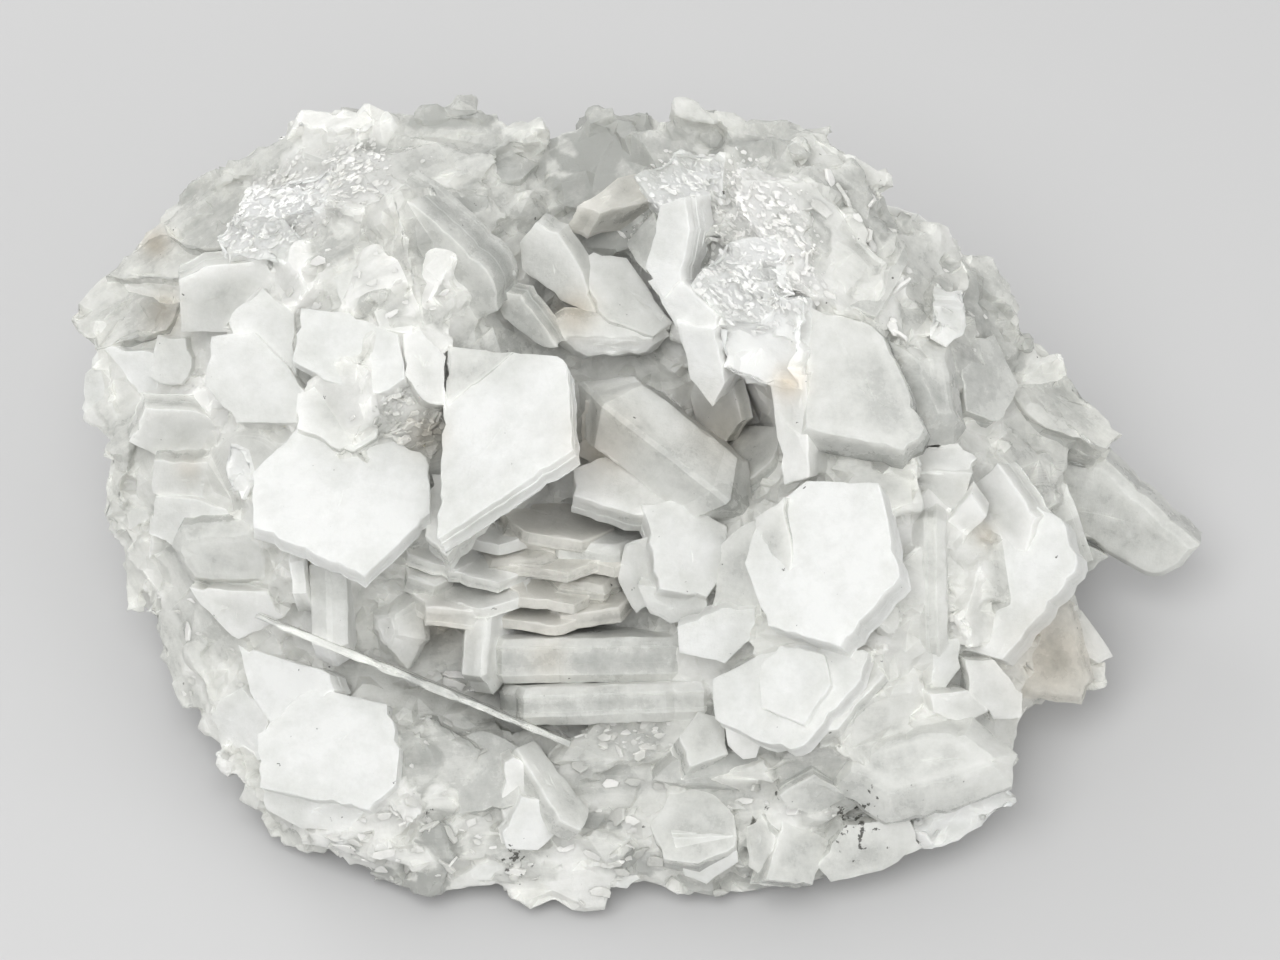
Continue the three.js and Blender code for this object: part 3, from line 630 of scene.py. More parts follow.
# Chips below the left swell.
BELOW_LEFT_SWELL = [
    Drawn([(-53.5, -5), (-52, -2.3), (-43.5, -1.7), (-41, -4), (-41, -8.5), (-43, -9.6), (-51, -9)],
        HAZY, z=0, lean=(26, 255), thick=5, bevel=(1.2, 1.6)),
    Drawn([(-42.7, -11.7), (-25, -18.7), (-7.3, -26.2), (-7.6, -27.1), (-25.3, -19.7), (-43.1, -12.6)],
        DUSK, z=7, lean=(0, 0), thick=6),
    Drawn([(-45.5, -15.5), (-34.5, -18.5), (-34, -20.5), (-41.5, -24.5), (-44, -21)],
        SNOW, z=1.5, lean=(28, 165)),
    Drawn([(-43, -25.5), (-37.5, -20.4), (-35, -20.4), (-28, -22),
           (-26.5, -27), (-27, -31), (-30, -34), (-42.5, -31.5)],
        SNOW, z=5, lean=(12, 120), thick=6),
    Drawn([(-48.8, -22.5), (-47.6, -27.6), (-42.5, -30.2), (-42, -23.5), (-45, -20)],
        MILKY, z=-3, lean=(30, 200), thick=5),
    Drawn([(-55, -9), (-49.5, -8.5), (-44.5, -17), (-43, -24), (-46, -25), (-52.2, -15)],
        SHALY, z=-7, lean=(38, 210), thick=6),
    Drawn([(-51, -9), (-42, -9.5), (-40, -12.5), (-45.5, -15.5), (-49, -12)],
        PALE, z=-1.5, lean=(25, 245), thick=5),
    Drawn([(-31.5, -10.5), (-28, -9.6), (-25.4, -10), (-25, -15), (-27, -18.4), (-30, -17.5), (-31.4, -14)],
        PALE, z=2.5, lean=(30, 185), thick=6, bevel=(2, 2.5)),
    Drawn([(-25, -11), (-21, -10.5), (-19.5, -12.5), (-24.6, -16.2)], SMOKE, z=-1, lean=(30, 290), thick=3),
    Drawn([(-42.5, -31), (-30, -32.5), (-31, -36.7), (-38, -36.4), (-42.2, -34.3)],
        MILKY, z=2, lean=(24, 250), thick=5),
    Drawn([(-33, -33), (-28, -32), (-24.5, -34), (-24.2, -38.5), (-28, -39.6), (-32.5, -37.8)],
        HAZY, z=1, lean=(24, 265), thick=6),
]

# Chips in the hollow between the swells.
HOLLOW = [
    Drawn([(0.5, 0.5), (5, 1), (10.3, -2), (10.6, -6.5), (8, -10), (2.6, -9)],
        MILKY, z=6.5, lean=(20, 60), thick=5),
    Drawn([(0, -8.5), (8, -9.5), (8, -13), (3.8, -13.2), (1.5, -12)], MILKY, z=5.5, lean=(26, 240)),
    Drawn([(-1.5, -4), (1.6, -3), (3, -10), (0, -12), (-2.3, -8.5)], HAZY, z=3.5, lean=(30, 200)),
    Drawn([(-7, 1.5), (-7, 4.5), (-3.5, 6), (3.5, 3), (5.5, 0.5), (0, -1)], PALE, z=4.2, lean=(30, 80)),
    Drawn([(-6.8, 6), (-6, 12.5), (-3, 11), (3.5, 1.5), (-1, 1.5)], SMOKE, z=3, lean=(40, 220)),
]

# Chips on the right swell.
RIGHT_SWELL = [
    Drawn([(19, 3.2), (27, 3), (29.2, -7.5), (22.5, -15.2), (14.5, -13), (12, -6), (13.5, -1)],
        SNOW, z=14.5, lean=(22, 135), thick=6),
    Drawn([(8.4, -19), (8.7, -23.5), (14, -26), (18, -27), (25, -19), (26.3, -15.6), (16, -15)],
        SNOW, z=12.5, lean=(20, 130)),
    Drawn([(13.5, -17.5), (13.8, -22), (18.6, -23.9), (21.7, -19.5), (21, -16), (16, -15)],
        SNOW, z=13.6, lean=(20, 130), thick=3),
    Drawn([(19.5, -25.5), (22.5, -24.6), (27.8, -18.5), (26.2, -16), (22, -16)],
        HAZY, z=9.5, lean=(30, 120)),
    Drawn([(4.5, -13.2), (4.8, -16.2), (10, -17.5), (13.4, -14), (13.4, -11), (9.5, -11)],
        SNOW, z=10, lean=(14, 250)),
    Drawn([(8.5, -11), (9.5, -4), (12, -1.5), (14, -1), (14, -12), (9.5, -12)],
        GREY, z=9, lean=(30, 180), thick=5),
    Drawn([(24.6, -14.5), (28, -11.5), (31.8, -9.5), (32, -14.3), (26, -15.5)],
        MILKY, z=7, lean=(36, 320), thick=3.5),
    Drawn([(27.3, -16), (31, -15.7), (31.2, -19.6), (27.4, -19)], DUSK, z=4, lean=(28, 260)),
    Drawn([(25.5, -21), (27.5, -18.8), (32, -19.5), (32.8, -21), (28.5, -24), (26.2, -22.8)],
        PALE, z=5, lean=(22, 250)),
    Drawn([(31.4, -15), (36.5, -14.5), (36.8, -18), (34.8, -20.5), (32, -21), (31, -18)],
        MILKY, z=5.5, lean=(24, 300)),
    Drawn([(36, -5), (39.5, 2), (42.5, 1.5), (48, -1), (50, -6.2), (46, -11.5), (41.2, -17), (36.8, -16)],
        SNOW, z=4, lean=(22, 150), thick=5),
    Drawn([(37.4, 2), (40.8, 5.2), (45, -1), (44, -5), (39, -4)], PALE, z=3, lean=(38, 190)),
    Drawn([(35, -1.6), (37.5, 1.6), (39.6, -1), (36.6, -3.8)], PALE, z=5.5, lean=(34, 250), thick=3),
    Drawn([(41.8, -16.8), (43.5, -13.5), (48, -9.5), (50.5, -11), (53.2, -20), (51.6, -23), (44.5, -22)],
        SMOKE, z=-4, lean=(22, 330), thick=6, bevel=(1, 1)),
    Drawn([(50, -10), (53.4, -14.5), (55.2, -17.2), (53.4, -18), (50, -16)], HAZY, z=-8, lean=(40, 10)),
    Drawn([(37, -17), (40.5, -17), (44, -21), (44, -24), (40.5, -24), (37.5, -21)],
        PALE, z=3, lean=(30, 320)),
    Drawn([(33, -20.8), (37.5, -20.5), (40, -23), (37, -24.5), (33.5, -23)], HAZY, z=5, lean=(34, 330)),
    Drawn([(17.8, 8.2), (18.5, 24), (28, 21), (31, 14.5), (33.2, 9), (32.5, 7), (30, 5.4), (22, 7)],
        HAZY, z=12, lean=(14, 80), thick=8, bevel=(1, 4)),
    Drawn([(28.5, 20), (36.6, 19.5), (38.6, 9.5), (37, 7.5), (32.5, 7.5), (29.5, 14)],
        GREY, z=6, lean=(30, 20), thick=7, bevel=(2.5, 2.5)),
    Drawn([(30, 5), (33, 7), (36.4, 7.4), (38.7, 5.8), (37, 3.8), (31.5, 3.8)],
        HAZY, z=5, lean=(34, 75), thick=3),
    Drawn([(28.2, 0.5), (29, 4.5), (38, 4), (37, 0.5), (34, -2.6), (29.5, -2.6)],
        GREY, z=4.5, lean=(26, 275), thick=5),
    Drawn([(13.2, -1), (16.5, 1.5), (17.5, -6), (15, -12), (12.2, -6)],
        HAZY, z=12.9, lean=(30, 170), thick=2),
]

# Blades along the right edge.
RIGHT_EDGE = [
    Drawn([(40.2, 17), (43.8, 19.6), (46.2, 19.6), (56, 8.4), (54.4, 6.6), (47, 9), (43, 13)],
        SHALY, z=-9, lean=(30, 60), thick=6),
    Drawn([(42.5, 3.6), (45.5, 8.4), (54.4, 5.2), (65.6, -4.8), (63.6, -7.4), (60.4, -9), (48, -1.8)],
        GREY, z=-15, lean=(26, 245), thick=6, bevel=(0.8, 1.2)),
    Drawn([(47, -1), (55.4, -5.8), (52.6, -8), (49, -9)], DUSK, z=-16, lean=(20, 300), thick=6),
    Drawn([(36.5, 19), (41, 20), (44, 14), (41.5, 9.5), (37.5, 11)], DUSK, z=-2, lean=(40, 30), thick=6),
]

# Crystals along the front.
FRONT = [
    Drawn([(-22.6, -27.5), (-17.5, -24.7), (-13, -27), (-13, -33.5), (-20.3, -34.6)],
        DUSK, z=3.5, lean=(18, 130), thick=5),
    Drawn([(-14.8, -28.6), (-13.8, -27.6), (-8.5, -32.6), (-8, -37),
           (-11, -39), (-15, -38.5), (-15.2, -33)],
        PALE, z=3.8, lean=(22, 300)),
    Drawn([(-12.8, -32.4), (-9.8, -33), (-8.7, -36.6), (-11, -38.8), (-14.6, -38.4), (-15, -36.5)],
        SNOW, z=5.4, lean=(22, 320), thick=2.5),
    Drawn([(-13.5, -27), (-11.5, -26), (-5, -34), (-6, -36.3), (-8.5, -35)],
        GREY, z=5.5, lean=(45, 45), thick=3),
    Drawn([(-19.6, -40), (-17.6, -38.4), (-15, -39), (-14.7, -42.4), (-18.6, -42.4)],
        MILKY, z=2, lean=(20, 260), thick=7),
    Drawn([(-8.2, -42.2), (-5, -39.8), (-2, -39.4), (0.5, -42), (-1, -43.3), (-7, -43)],
        SNOW, z=2, lean=(24, 265)),
    Drawn([(1.5, -35.5), (4.5, -31), (8, -31.4), (11.2, -34.5), (11.3, -38), (7, -40), (3, -39.5)],
        GREY, z=5, lean=(22, 100), thick=5),
    Drawn([(4, -37), (11, -36.8), (11.6, -40), (8, -42.6), (5.5, -41.6)], SNOW, z=4.6, lean=(30, 280)),
    Drawn([(4.8, -25.5), (7, -22.8), (10, -23.3), (10.4, -27.5), (6, -29)], HAZY, z=7.5, lean=(30, 60)),
    Drawn([(9.8, -23.5), (12.5, -23.8), (14.2, -26), (13.5, -28), (12, -28.2), (10.2, -26.6)],
        PALE, z=9, lean=(24, 260)),
    Drawn([(1.8, -31.5), (4, -29.2), (8, -28.6), (14, -28), (16.5, -30), (13, -33), (5, -32.5)],
        DUSK, z=6, lean=(36, 275), thick=5, bevel=(1.5, 1.5)),
    Drawn([(15.8, -32.3), (20, -29.8), (24, -32.3), (21, -34.4), (17, -34)], DUSK, z=6.5, lean=(36, 285)),
    Drawn([(21, -27.5), (23, -25), (32, -22.6), (38, -22.8), (43, -27),
           (42.4, -30.6), (36, -33), (28, -34.8), (22, -31)],
        HAZY, z=8, lean=(14, 95), thick=8, bevel=(2.5, 3)),
    Drawn([(37, -31.5), (42, -30.8), (43.8, -33.5), (36.6, -37.6), (32.5, -38.8), (31.3, -35.4)],
        CRUMBLED, z=1.5, lean=(34, 300), thick=6),
    Drawn([(12.4, -36), (14, -34.4), (15.8, -37), (14.4, -42), (12.6, -40.5)], GREY, z=4.5, lean=(30, 190)),
    Drawn([(20.4, -40.5), (23.6, -35.4), (31, -35.2), (32.5, -38.5), (28, -41.2), (22, -42.5)],
        GREY, z=3, lean=(24, 290), thick=5),
    Drawn([(14.6, -41.8), (16.5, -35), (23, -35.5), (20, -42.5)], GREY, z=4, lean=(30, 20)),
]

# Crystals over the crown, at the top of the face.
CROWN = [
    Drawn([(-27.5, 36.6), (-22, 36.2), (-14, 30.2), (-13, 27), (-17, 27), (-24, 32)],
        GREY, z=5, lean=(36, 60), thick=5, bevel=(1.5, 1.5)),
    Drawn([(-27.2, 35.4), (-24, 33.5), (-16, 26), (-15.3, 22), (-20, 20.6), (-24, 21.5)],
        DUSK, z=6.5, lean=(40, 230), thick=6),
    Drawn([(-31, 34), (-27.2, 35.4), (-25, 27), (-23.6, 20.5), (-25.2, 20.3), (-29.6, 27), (-31, 29.5)],
        SHALY, z=7.5, lean=(50, 195), thick=6),
    Drawn([(-13.2, 30), (-11.4, 32.4), (-8.8, 31), (-6.4, 27.5), (-4.4, 21.8), (-8.6, 23.4), (-13, 27)],
        GREY, z=3.5, lean=(30, 225), thick=3.5),
    Drawn([(-6.6, 28), (-4.8, 29.2), (-1, 28.5), (1.2, 25.5), (4.2, 21), (2, 19.4), (-4, 21.5)],
        GREY, z=2.5, lean=(26, 60), thick=5),
    Drawn([(-1.6, 30), (2, 33.8), (3, 30), (1, 26.5)], DUSK, z=2, lean=(40, 150)),
    Drawn([(-16, 23.4), (-15, 24.5), (-13, 24), (-8.6, 18), (-10.5, 18), (-15, 21.5)],
        GREY, z=4.5, lean=(40, 220), thick=3),
    Drawn([(-10, 19.5), (-8, 20.8), (3.2, 20.5), (3.8, 18.5), (2, 16.4), (-6, 15.8), (-9, 17.3)],
        PALE, z=3, lean=(40, 275), thick=5, bevel=(1.5, 1.8)),
    Drawn([(-24.3, 38.2), (-21, 41.2), (-14, 41.6), (-11, 40), (-13, 38), (-20, 37.3)],
        DUSK, z=-2, lean=(45, 80), thick=5, bevel=(1, 1)),
    Drawn([(1, 27), (2.6, 34), (5.5, 34.8), (6, 31), (5, 25.5), (3, 23.2)],
        SNOW, z=10, lean=(30, 190), thick=6),
    Drawn([(1.2, 25.5), (3.6, 27), (9, 21.5), (8.8, 19), (4.4, 20.4)],
        SNOW, z=9.5, lean=(30, 200), thick=7),
    Drawn([(4.4, 21), (8.8, 20), (10, 14), (8.6, 11.4), (6, 14.5)], SNOW, z=9, lean=(34, 220), thick=6),
    Drawn([(6.5, 25), (9.4, 30), (16, 30.5), (17, 24), (14, 20.5), (9, 20.5)],
        CRUMBLED, z=11, lean=(20, 150), thick=5),
    Drawn([(9, 22), (16, 24), (18.2, 23), (18.5, 13), (13.5, 13.5), (10, 14.8)],
        CRUMBLED, z=11.5, lean=(24, 200), thick=6),
    Drawn([(14.8, 14.5), (19, 15), (19.3, 3.5), (16.5, 2.5)], PALE, z=11, lean=(30, 190), thick=8),
]

# Broken plates round the rim, and the rough lumps of the crown.
BROKEN_PLATES = [
    Drawn([(-65.8, 22), (-64.2, 24.6), (-59.3, 28.8), (-51, 30), (-50, 26), (-54, 20.4), (-62.4, 18.2)],
        SHALY, z=-9.5, lean=(26, 130), thick=5),
    Drawn([(-61.8, 26.6), (-59.2, 29.2), (-54.4, 32.2), (-47, 31), (-49, 26)],
        SHALY, z=-8, lean=(34, 130), thick=5),
    Drawn([(-54.8, 33), (-50.6, 36.6), (-47.2, 38.4), (-41, 37), (-46, 30), (-52, 29.5)],
        SHALY, z=-6.5, lean=(34, 125), thick=6),
    Drawn([(-48.2, 38.6), (-44, 41.2), (-39.3, 43.2), (-37, 40), (-42, 36), (-46, 36)],
        SHALY, z=-8, lean=(36, 120), thick=5),
    Drawn([(-38.8, 43.6), (-35, 45), (-31, 44.2), (-24.5, 42.8), (-24, 39), (-33, 38.8), (-38, 40)],
        DUSK, z=-4.5, lean=(42, 95), thick=6),
    Drawn([(-46, 33), (-44, 36.5), (-36, 38.8), (-30.5, 38), (-31, 34.5), (-40, 33)],
        CRUMBLED, z=0.5, lean=(30, 100), thick=6),
    Drawn([(-48, 31), (-46, 34), (-40, 33), (-36, 29.5), (-40, 27.5), (-47, 28.5)],
        CRUMBLED, z=1.5, lean=(22, 120), thick=6),
    Drawn([(-6.6, 34.2), (-2, 37.6), (3, 39), (4, 35.5), (-4, 33.2)], SMOKE, z=1, lean=(40, 60), thick=5),
    Drawn([(2.8, 42.8), (5, 43.5), (16, 42.4), (23.4, 38.8), (18, 37), (4, 39)],
        CRUMBLED, z=-6, lean=(40, 80), thick=7),
    Drawn([(0, 37.5), (5, 41), (14, 40), (17, 33), (8, 32.5), (3, 33.5)],
        CRUMBLED, z=4, lean=(24, 100), thick=8),
    Drawn([(18.5, 24.3), (16, 33), (22, 37), (28, 36), (31, 28), (27, 21.3)],
        DUSK, z=6, lean=(30, 55), thick=8),
    Drawn([(27, 21), (28, 30), (35, 30.6), (38.6, 27), (36.8, 20), (31, 19.4)],
        SHALY, z=1, lean=(40, 45), thick=8),
    Drawn([(33, 19), (33.4, 23), (36.8, 22.6), (37, 19.4), (35, 18.4)],
        CRUMBLED, z=4.5, lean=(26, 250), thick=6),
    Drawn([(29.4, 33), (36.2, 30.4), (38.4, 27.2), (34, 26), (29, 28)], DUSK, z=-5, lean=(46, 50), thick=6),
]

# Chips on edge, between the swells.
ON_EDGE = [
    Stood((6.3, 10, 2.4), PALE, lean=(86, 52), half=11, thick=9, bevel=(3.6, 4.2),
        shares=(1, 1, 1, 0.6, 1, 1)),
    Stood((-4.6, -13.8, -1), HAZY, lean=(80, 91), half=12, thick=5.2, bevel=(0.6, 1),
        shares=(1, 1, 1, 0.45, 1, 0.9)),
    Stood((-2.6, -19.4, 0), HAZY, lean=(84, 92), half=11.5, thick=4.4, bevel=(0.6, 1),
        shares=(1, 1, 1, 0.45, 1, 1)),
    Stood((-15.2, -15.5, 2), MILKY, lean=(62, 355), half=5, thick=3.6, bevel=(0.6, 0.6),
        shares=(1, 1, 1, 0.7, 1, 1)),
    Stood((-32.2, -10.8, 2.4), MILKY, lean=(84, 2), half=6.2, thick=4.2, bevel=(0.9, 1.8),
        shares=(1, 1, 1, 0.6, 1, 1)),
    Stood((-36.8, -7.4, 3), MILKY, lean=(84, 5), half=3.4, thick=1.8),
    Stood((35.3, -8.2, 4.2), PALE, lean=(84, 1), half=8.2, thick=3.8, bevel=(0.9, 1.2),
        shares=(1, 1, 1, 0.6, 1, 1)),
    Stood((-12.5, -3.4, -2), SMOKE, lean=(66, 96), turn=90, half=6, thick=2.6, bevel=(0.8, 0.9)),
    Stood((-5, -2, -2.5), PALE, lean=(68, 84), half=6, thick=2.8, bevel=(0.8, 0.9)),
    Stood((-13, -6.5, -2), SMOKE, lean=(58, 250), turn=10, half=5.5, thick=2.4),
    Stood((-5.5, -6, -2), SMOKE, lean=(62, 82), half=5.6, thick=2.6, bevel=(0.8, 0.9)),
    Stood((-20, -8.6, 0), PALE, lean=(62, 84), half=6, thick=2.6),
    Stood((-5.5, -9.4, -2), SMOKE, lean=(66, 98), half=5.4, thick=2),
    Stood((-23.6, -6.6, 2), PALE, lean=(50, 70), turn=10, half=3, thick=2.4),
    Stood((-13, -9.4, -2.5), PALE, lean=(64, 275), half=5.5, thick=2.2),
    Stood((12, 6, -2), GREY, lean=(60, 130), turn=10, half=5, thick=2),
    Stood((9, 12, -3), GREY, lean=(50, 200), turn=10, half=4, thick=2),
    Stood((-9, -1, -1.5), SMOKE, lean=(68, 80), turn=20, half=6, thick=1.6),
    Stood((-16, -1.5, -1), PALE, lean=(64, 88), turn=5, half=5.5, thick=1.6),
    Stood((-9, -4.4, -1), SMOKE, lean=(66, 92), turn=10, half=6.5, thick=1.5),
    Stood((-2.5, -4.2, -1.5), SMOKE, lean=(64, 86), turn=0, half=5, thick=1.6),
    Stood((-17, -5.2, 0), PALE, lean=(60, 80), turn=15, half=5.5, thick=1.6),
    Stood((-9.5, -7.6, -1), SMOKE, lean=(64, 84), turn=20, half=6, thick=1.5),
    Stood((-17, -8.4, 0.5), PALE, lean=(62, 96), turn=0, half=5.5, thick=1.5),
    Stood((-10, -10.6, -1.5), SMOKE, lean=(66, 90), turn=10, half=6, thick=1.4),
    Stood((-22, -4, 1), PALE, lean=(58, 70), turn=10, half=4.5, thick=1.6),
]

# Stubby crystals on the back and the ends, behind the face.
BLOCKS_OF_BACK = [
    Stood((-30, 35, -22.5), PALE, lean=(112, 103), turn=10, half=10, thick=7,
        shares=(1, 0.86, 1, 0.8, 0.95, 0.84)),
    Stood((5, 30.8, -29.4), PALE, lean=(118, 83), turn=0, half=12, thick=8,
        shares=(0.9, 1, 0.78, 1, 0.85, 0.92)),
    Stood((32, 32, -20.5), PALE, lean=(102, 59), turn=20, half=9, thick=7,
        shares=(1, 0.82, 0.94, 0.88, 1, 0.78)),
    Stood((-51, 13, -19), PALE, lean=(95, 150), turn=0, half=8, thick=7,
        shares=(0.85, 1, 0.9, 0.8, 1, 0.95)),
    Stood((-57, -4, -12), PALE, lean=(77, 178), turn=15, half=6, thick=5,
        shares=(1, 0.88, 0.8, 1, 0.9, 0.76)),
    Stood((50.5, 1, -18), PALE, lean=(90, 22), turn=10, half=8, thick=6,
        shares=(0.8, 1, 0.86, 1, 0.92, 0.84)),
    Stood((18, 37.5, -15), PALE, lean=(84, 84), turn=10, half=8, thick=6,
        shares=(1, 0.9, 0.76, 0.94, 1, 0.84)),
    Stood((-14, 38.6, -15), PALE, lean=(88, 90), turn=0, half=8, thick=6,
        shares=(0.88, 0.78, 1, 0.86, 1, 0.92)),
    Stood((-38, 18.5, -33), PALE, lean=(105, 129), turn=25, half=8, thick=7,
        shares=(1, 0.84, 1, 0.9, 0.78, 0.96)),
    Stood((26, 21, -37), PALE, lean=(116, 69), turn=0, half=9, thick=7,
        shares=(0.92, 1, 0.82, 0.76, 1, 0.88)),
]

# Every crystal, in the order in which they are made.
CHIPS = [
    *LEFT_SWELL, *LEFT_EDGE, *BELOW_LEFT_SWELL, *HOLLOW, *RIGHT_SWELL, *RIGHT_EDGE, *FRONT, *CROWN,
    *BROKEN_PLATES, *ON_EDGE, *BLOCKS_OF_BACK,
]


@dataclass(frozen=True)
class Fade:
    """How the whiteness of a crystal changes from its rims inwards.

    Args:
        at_rim: its share at the rims of a cap.
        inwards: what the share gains on the way to the middle.
        start: how far from the rim the change starts.
        end: how far from the rim it ends.
        core_grey: how much greyer the middle layers of the sides are.
    """

    at_rim: float
    inwards: float
    start: float
    end: float
    core_grey: float


WHITE_FADE = Fade(at_rim=0.82, inwards=0.18, start=0.3, end=2.2, core_grey=0.14)
GREY_FADE = Fade(at_rim=1.25, inwards=-0.42, start=0.2, end=2.8, core_grey=0.28)


@dataclass
class ChipWorks:
    """Works a blank into a grown crystal: nicked and rounded rims, layers on its sides and uneven caps.

    Args:
        spacing: how far apart the points along a rim are.
        rounding: how far the rims are rounded off.
        wobble: how far the sides wander from straight.
        nick: how deep the deepest nicks in the rims are.
        layer: how thick the layers on the sides are.
        layer_shares: the least and the greatest share of that a layer has.
        ledge: how far one layer stands back from the next.
        step: how far down the step between two layers reaches.
        unevenness: how far the caps and bases are from flat.
        cap_rings: where the inner rings of a cap are, as shares of the way out.
        least_side: the shortest side that is kept.
    """

    spacing: float = 1.1
    rounding: float = 0.16
    wobble: float = 0.12
    nick: float = 0.35
    layer: float = 0.9
    layer_shares: tuple[float, float] = (0.6, 1.5)
    ledge: float = 0.14
    step: float = 0.08
    unevenness: float = 0.22
    cap_rings: tuple[float, ...] = (0.2, 0.4, 0.65, 0.85)
    least_side: float = 1e-3

    def build(self, name: str, blank: Blank, number: int) -> Object:
        """Builds the worked crystal, with what its finish reads.

        Args:
            name: the object's name.
            blank: the chip.
            number: the chip's own number, which seeds its random numbers.

        Returns:
            The crystal's object, in place.
        """
        corners = np.array(blank.corners())
        lengths = np.linalg.norm(np.roll(corners, -1, axis=0) - corners, axis=1)
        long_enough = lengths > self.least_side
        corners = corners[long_enough]
        counts = [max(2, round(length / self.spacing)) for length in lengths[long_enough]]
        half = min(distance for _, distance in blank.sides)
        rings, rims = self.rings(blank, half, corners, counts, number)

        count = sum(counts)
        starts = [1 + count * k for k in range(len(rings))]
        last = 1 + count * len(rings)
        faces = ring_faces(starts, count)
        for i in range(count):
            j = (i + 1) % count
            faces.append((0, starts[0] + i, starts[0] + j))
            faces.append((last, starts[-1] + j, starts[-1] + i))

        centre = corners.mean(axis=0)
        local = np.vstack([[*centre, rings[0][0, 2]], *rings, [*centre, rings[-1][0, 2]]])
        rim = np.concatenate([[half], np.repeat(rims, count), [half]])
        rises = lumps(local[:, :2], 0.22, number * 1.7) + 0.4 * lumps(local[:, :2], 0.7, number)
        local[:, 2] += self.unevenness * rises * smooth(0.2, 1.5, rim)
        placed = moved(local, blank.place)
        made = solid_object(name, placed, faces)
        self.tint(made.data, blank, local, rim, number)
        if blank.look in (SHALY, CRUMBLED):
            set_local(made.data, along_streaks(on_face(placed)))
        return made

    def rings(
        self, blank: Blank, half: float, corners: np.ndarray, counts: list[int], number: int
    ) -> tuple[list[np.ndarray], list[float]]:
        """Lays the rings of points that the crystal's skin runs through, from its cap to its base.

        Args:
            blank: the chip.
            half: the least distance of its sides.
            corners: its outline's corners, anticlockwise.
            counts: how many points each side has.
            number: the chip's own number.

        Returns:
            Each ring's points, one a row, and how far in from the rim each ring is.
        """
        outer = self.rim_points(corners, 0, counts)
        probe = 0.2
        inwards = (self.rim_points(corners, probe, counts) - outer) / probe
        wander = self.wander(outer, number) * min(1, half / 3)
        rings, rims = [], []
        for inset, depth, part in self.profile(blank, half, random.Random(number)):
            flat = self.rim_points(corners, min(inset, 0.8 * half), counts)
            flat = flat + inwards * (wander * part)[:, None]
            rings.append(np.column_stack([flat, np.full(len(flat), -depth)]))
            rims.append(inset)
        centre = corners.mean(axis=0)
        flat, level = rings[0][:, :2], rings[0][:, 2]
        cap = [np.column_stack([centre + (flat - centre) * part, level]) for part in self.cap_rings]
        return cap + rings, [half * (1 - part) for part in self.cap_rings] + rims

    def rim_points(self, corners: np.ndarray, inset: float, counts: list[int]) -> np.ndarray:
        """Lays points along the outline after its sides have moved in.

        Args:
            corners: the outline's corners, anticlockwise.
            inset: how far the sides move in.
            counts: how many points each side has.

        Returns:
            The points, one a row.
        """
        along = np.roll(corners, -1, axis=0) - corners
        along /= np.linalg.norm(along, axis=1)[:, None]
        inwards = np.stack([-along[:, 1], along[:, 0]], axis=1)
        bisector = np.roll(inwards, 1, axis=0) + inwards
        reach = inset / np.maximum(0.25, (bisector * inwards).sum(axis=1))
        shifted = corners + bisector * reach[:, None]
        ends = np.roll(shifted, -1, axis=0)
        crossed = ((ends - shifted) * along).sum(axis=1) < 0
        for side in np.flatnonzero(crossed):
            middle = (shifted[side] + ends[side]) / 2
            shifted[side] = shifted[(side + 1) % len(shifted)] = middle
        ends = np.roll(shifted, -1, axis=0)
        rows = []
        for start, end, count in zip(shifted, ends, counts):
            rows.append(start + (end - start) * (np.arange(count)[:, None] / count))
        return np.concatenate(rows)

    def wander(self, outer: np.ndarray, number: int) -> np.ndarray:
        """Gives how far each point of a rim wanders inwards.

        Args:
            outer: the rim's points, one a row.
            number: the chip's own number.

        Returns:
            The distances.
        """
        waves = lumps(outer, 0.45, number * 7.1) + 0.6 * lumps(outer, 1, number * 3.3)
        nicks = smooth(0.1, 0.45, lumps(outer, 0.8, number * 5.7))
        return self.wobble * (waves + 0.3) + self.nick * nicks

    def profile(self, blank: Blank, half: float, draw: random.Random) -> list[Place]:
        """Lists the rings of the chip from its cap to its base.

        Args:
            blank: the chip.
            half: the least distance of its sides.
            draw: the source of its random numbers.

        Returns:
            Each ring's inset, depth and share of the wander.
        """
        inset, drop = blank.bevel
        thick, r = blank.thick, min(self.rounding, blank.thick / 6, half / 6)
        rings = [(inset + 3 * r, 0, 0.3), (inset + r, 0, 0.8), (inset + 0.3 * r, 0.3 * r, 1)]
        if inset:
            rings += [(inset * (1 - part), drop * part, 1) for part in (0.25, 0.5, 0.75)]
            rings += [(0.1 * r, drop - r, 1), (0, drop + r, 1)]
        else:
            rings += [(0, r, 1)]
        rings += self.layers(drop + r, thick - drop - r, draw)
        if inset:
            rings += [(0, thick - drop - r / 2, 1), (inset, thick - r, 1)]
        else:
            rings += [(0, thick - r, 1)]
        return rings + [(inset + r, thick, 1), (inset + 3 * r, thick, 0.3)]

    def layers(self, depth: float, last: float, draw: random.Random) -> list[Place]:
        """Lists the rings of the chip's side, two for each layer.

        Args:
            depth: the depth at which the side starts.
            last: the depth at which it ends.
            draw: the source of its random numbers.

        Returns:
            Each ring's inset, depth and share of the wander.
        """
        rings = []
        while depth < last - 0.3 * self.layer:
            back = self.ledge * draw.uniform(0, 1) ** 2
            end = min(last, depth + self.layer * draw.uniform(*self.layer_shares))
            rings += [(back, depth + self.step, 1), (back, max(end, depth + 1.5 * self.step), 1)]
            depth = end
        return rings

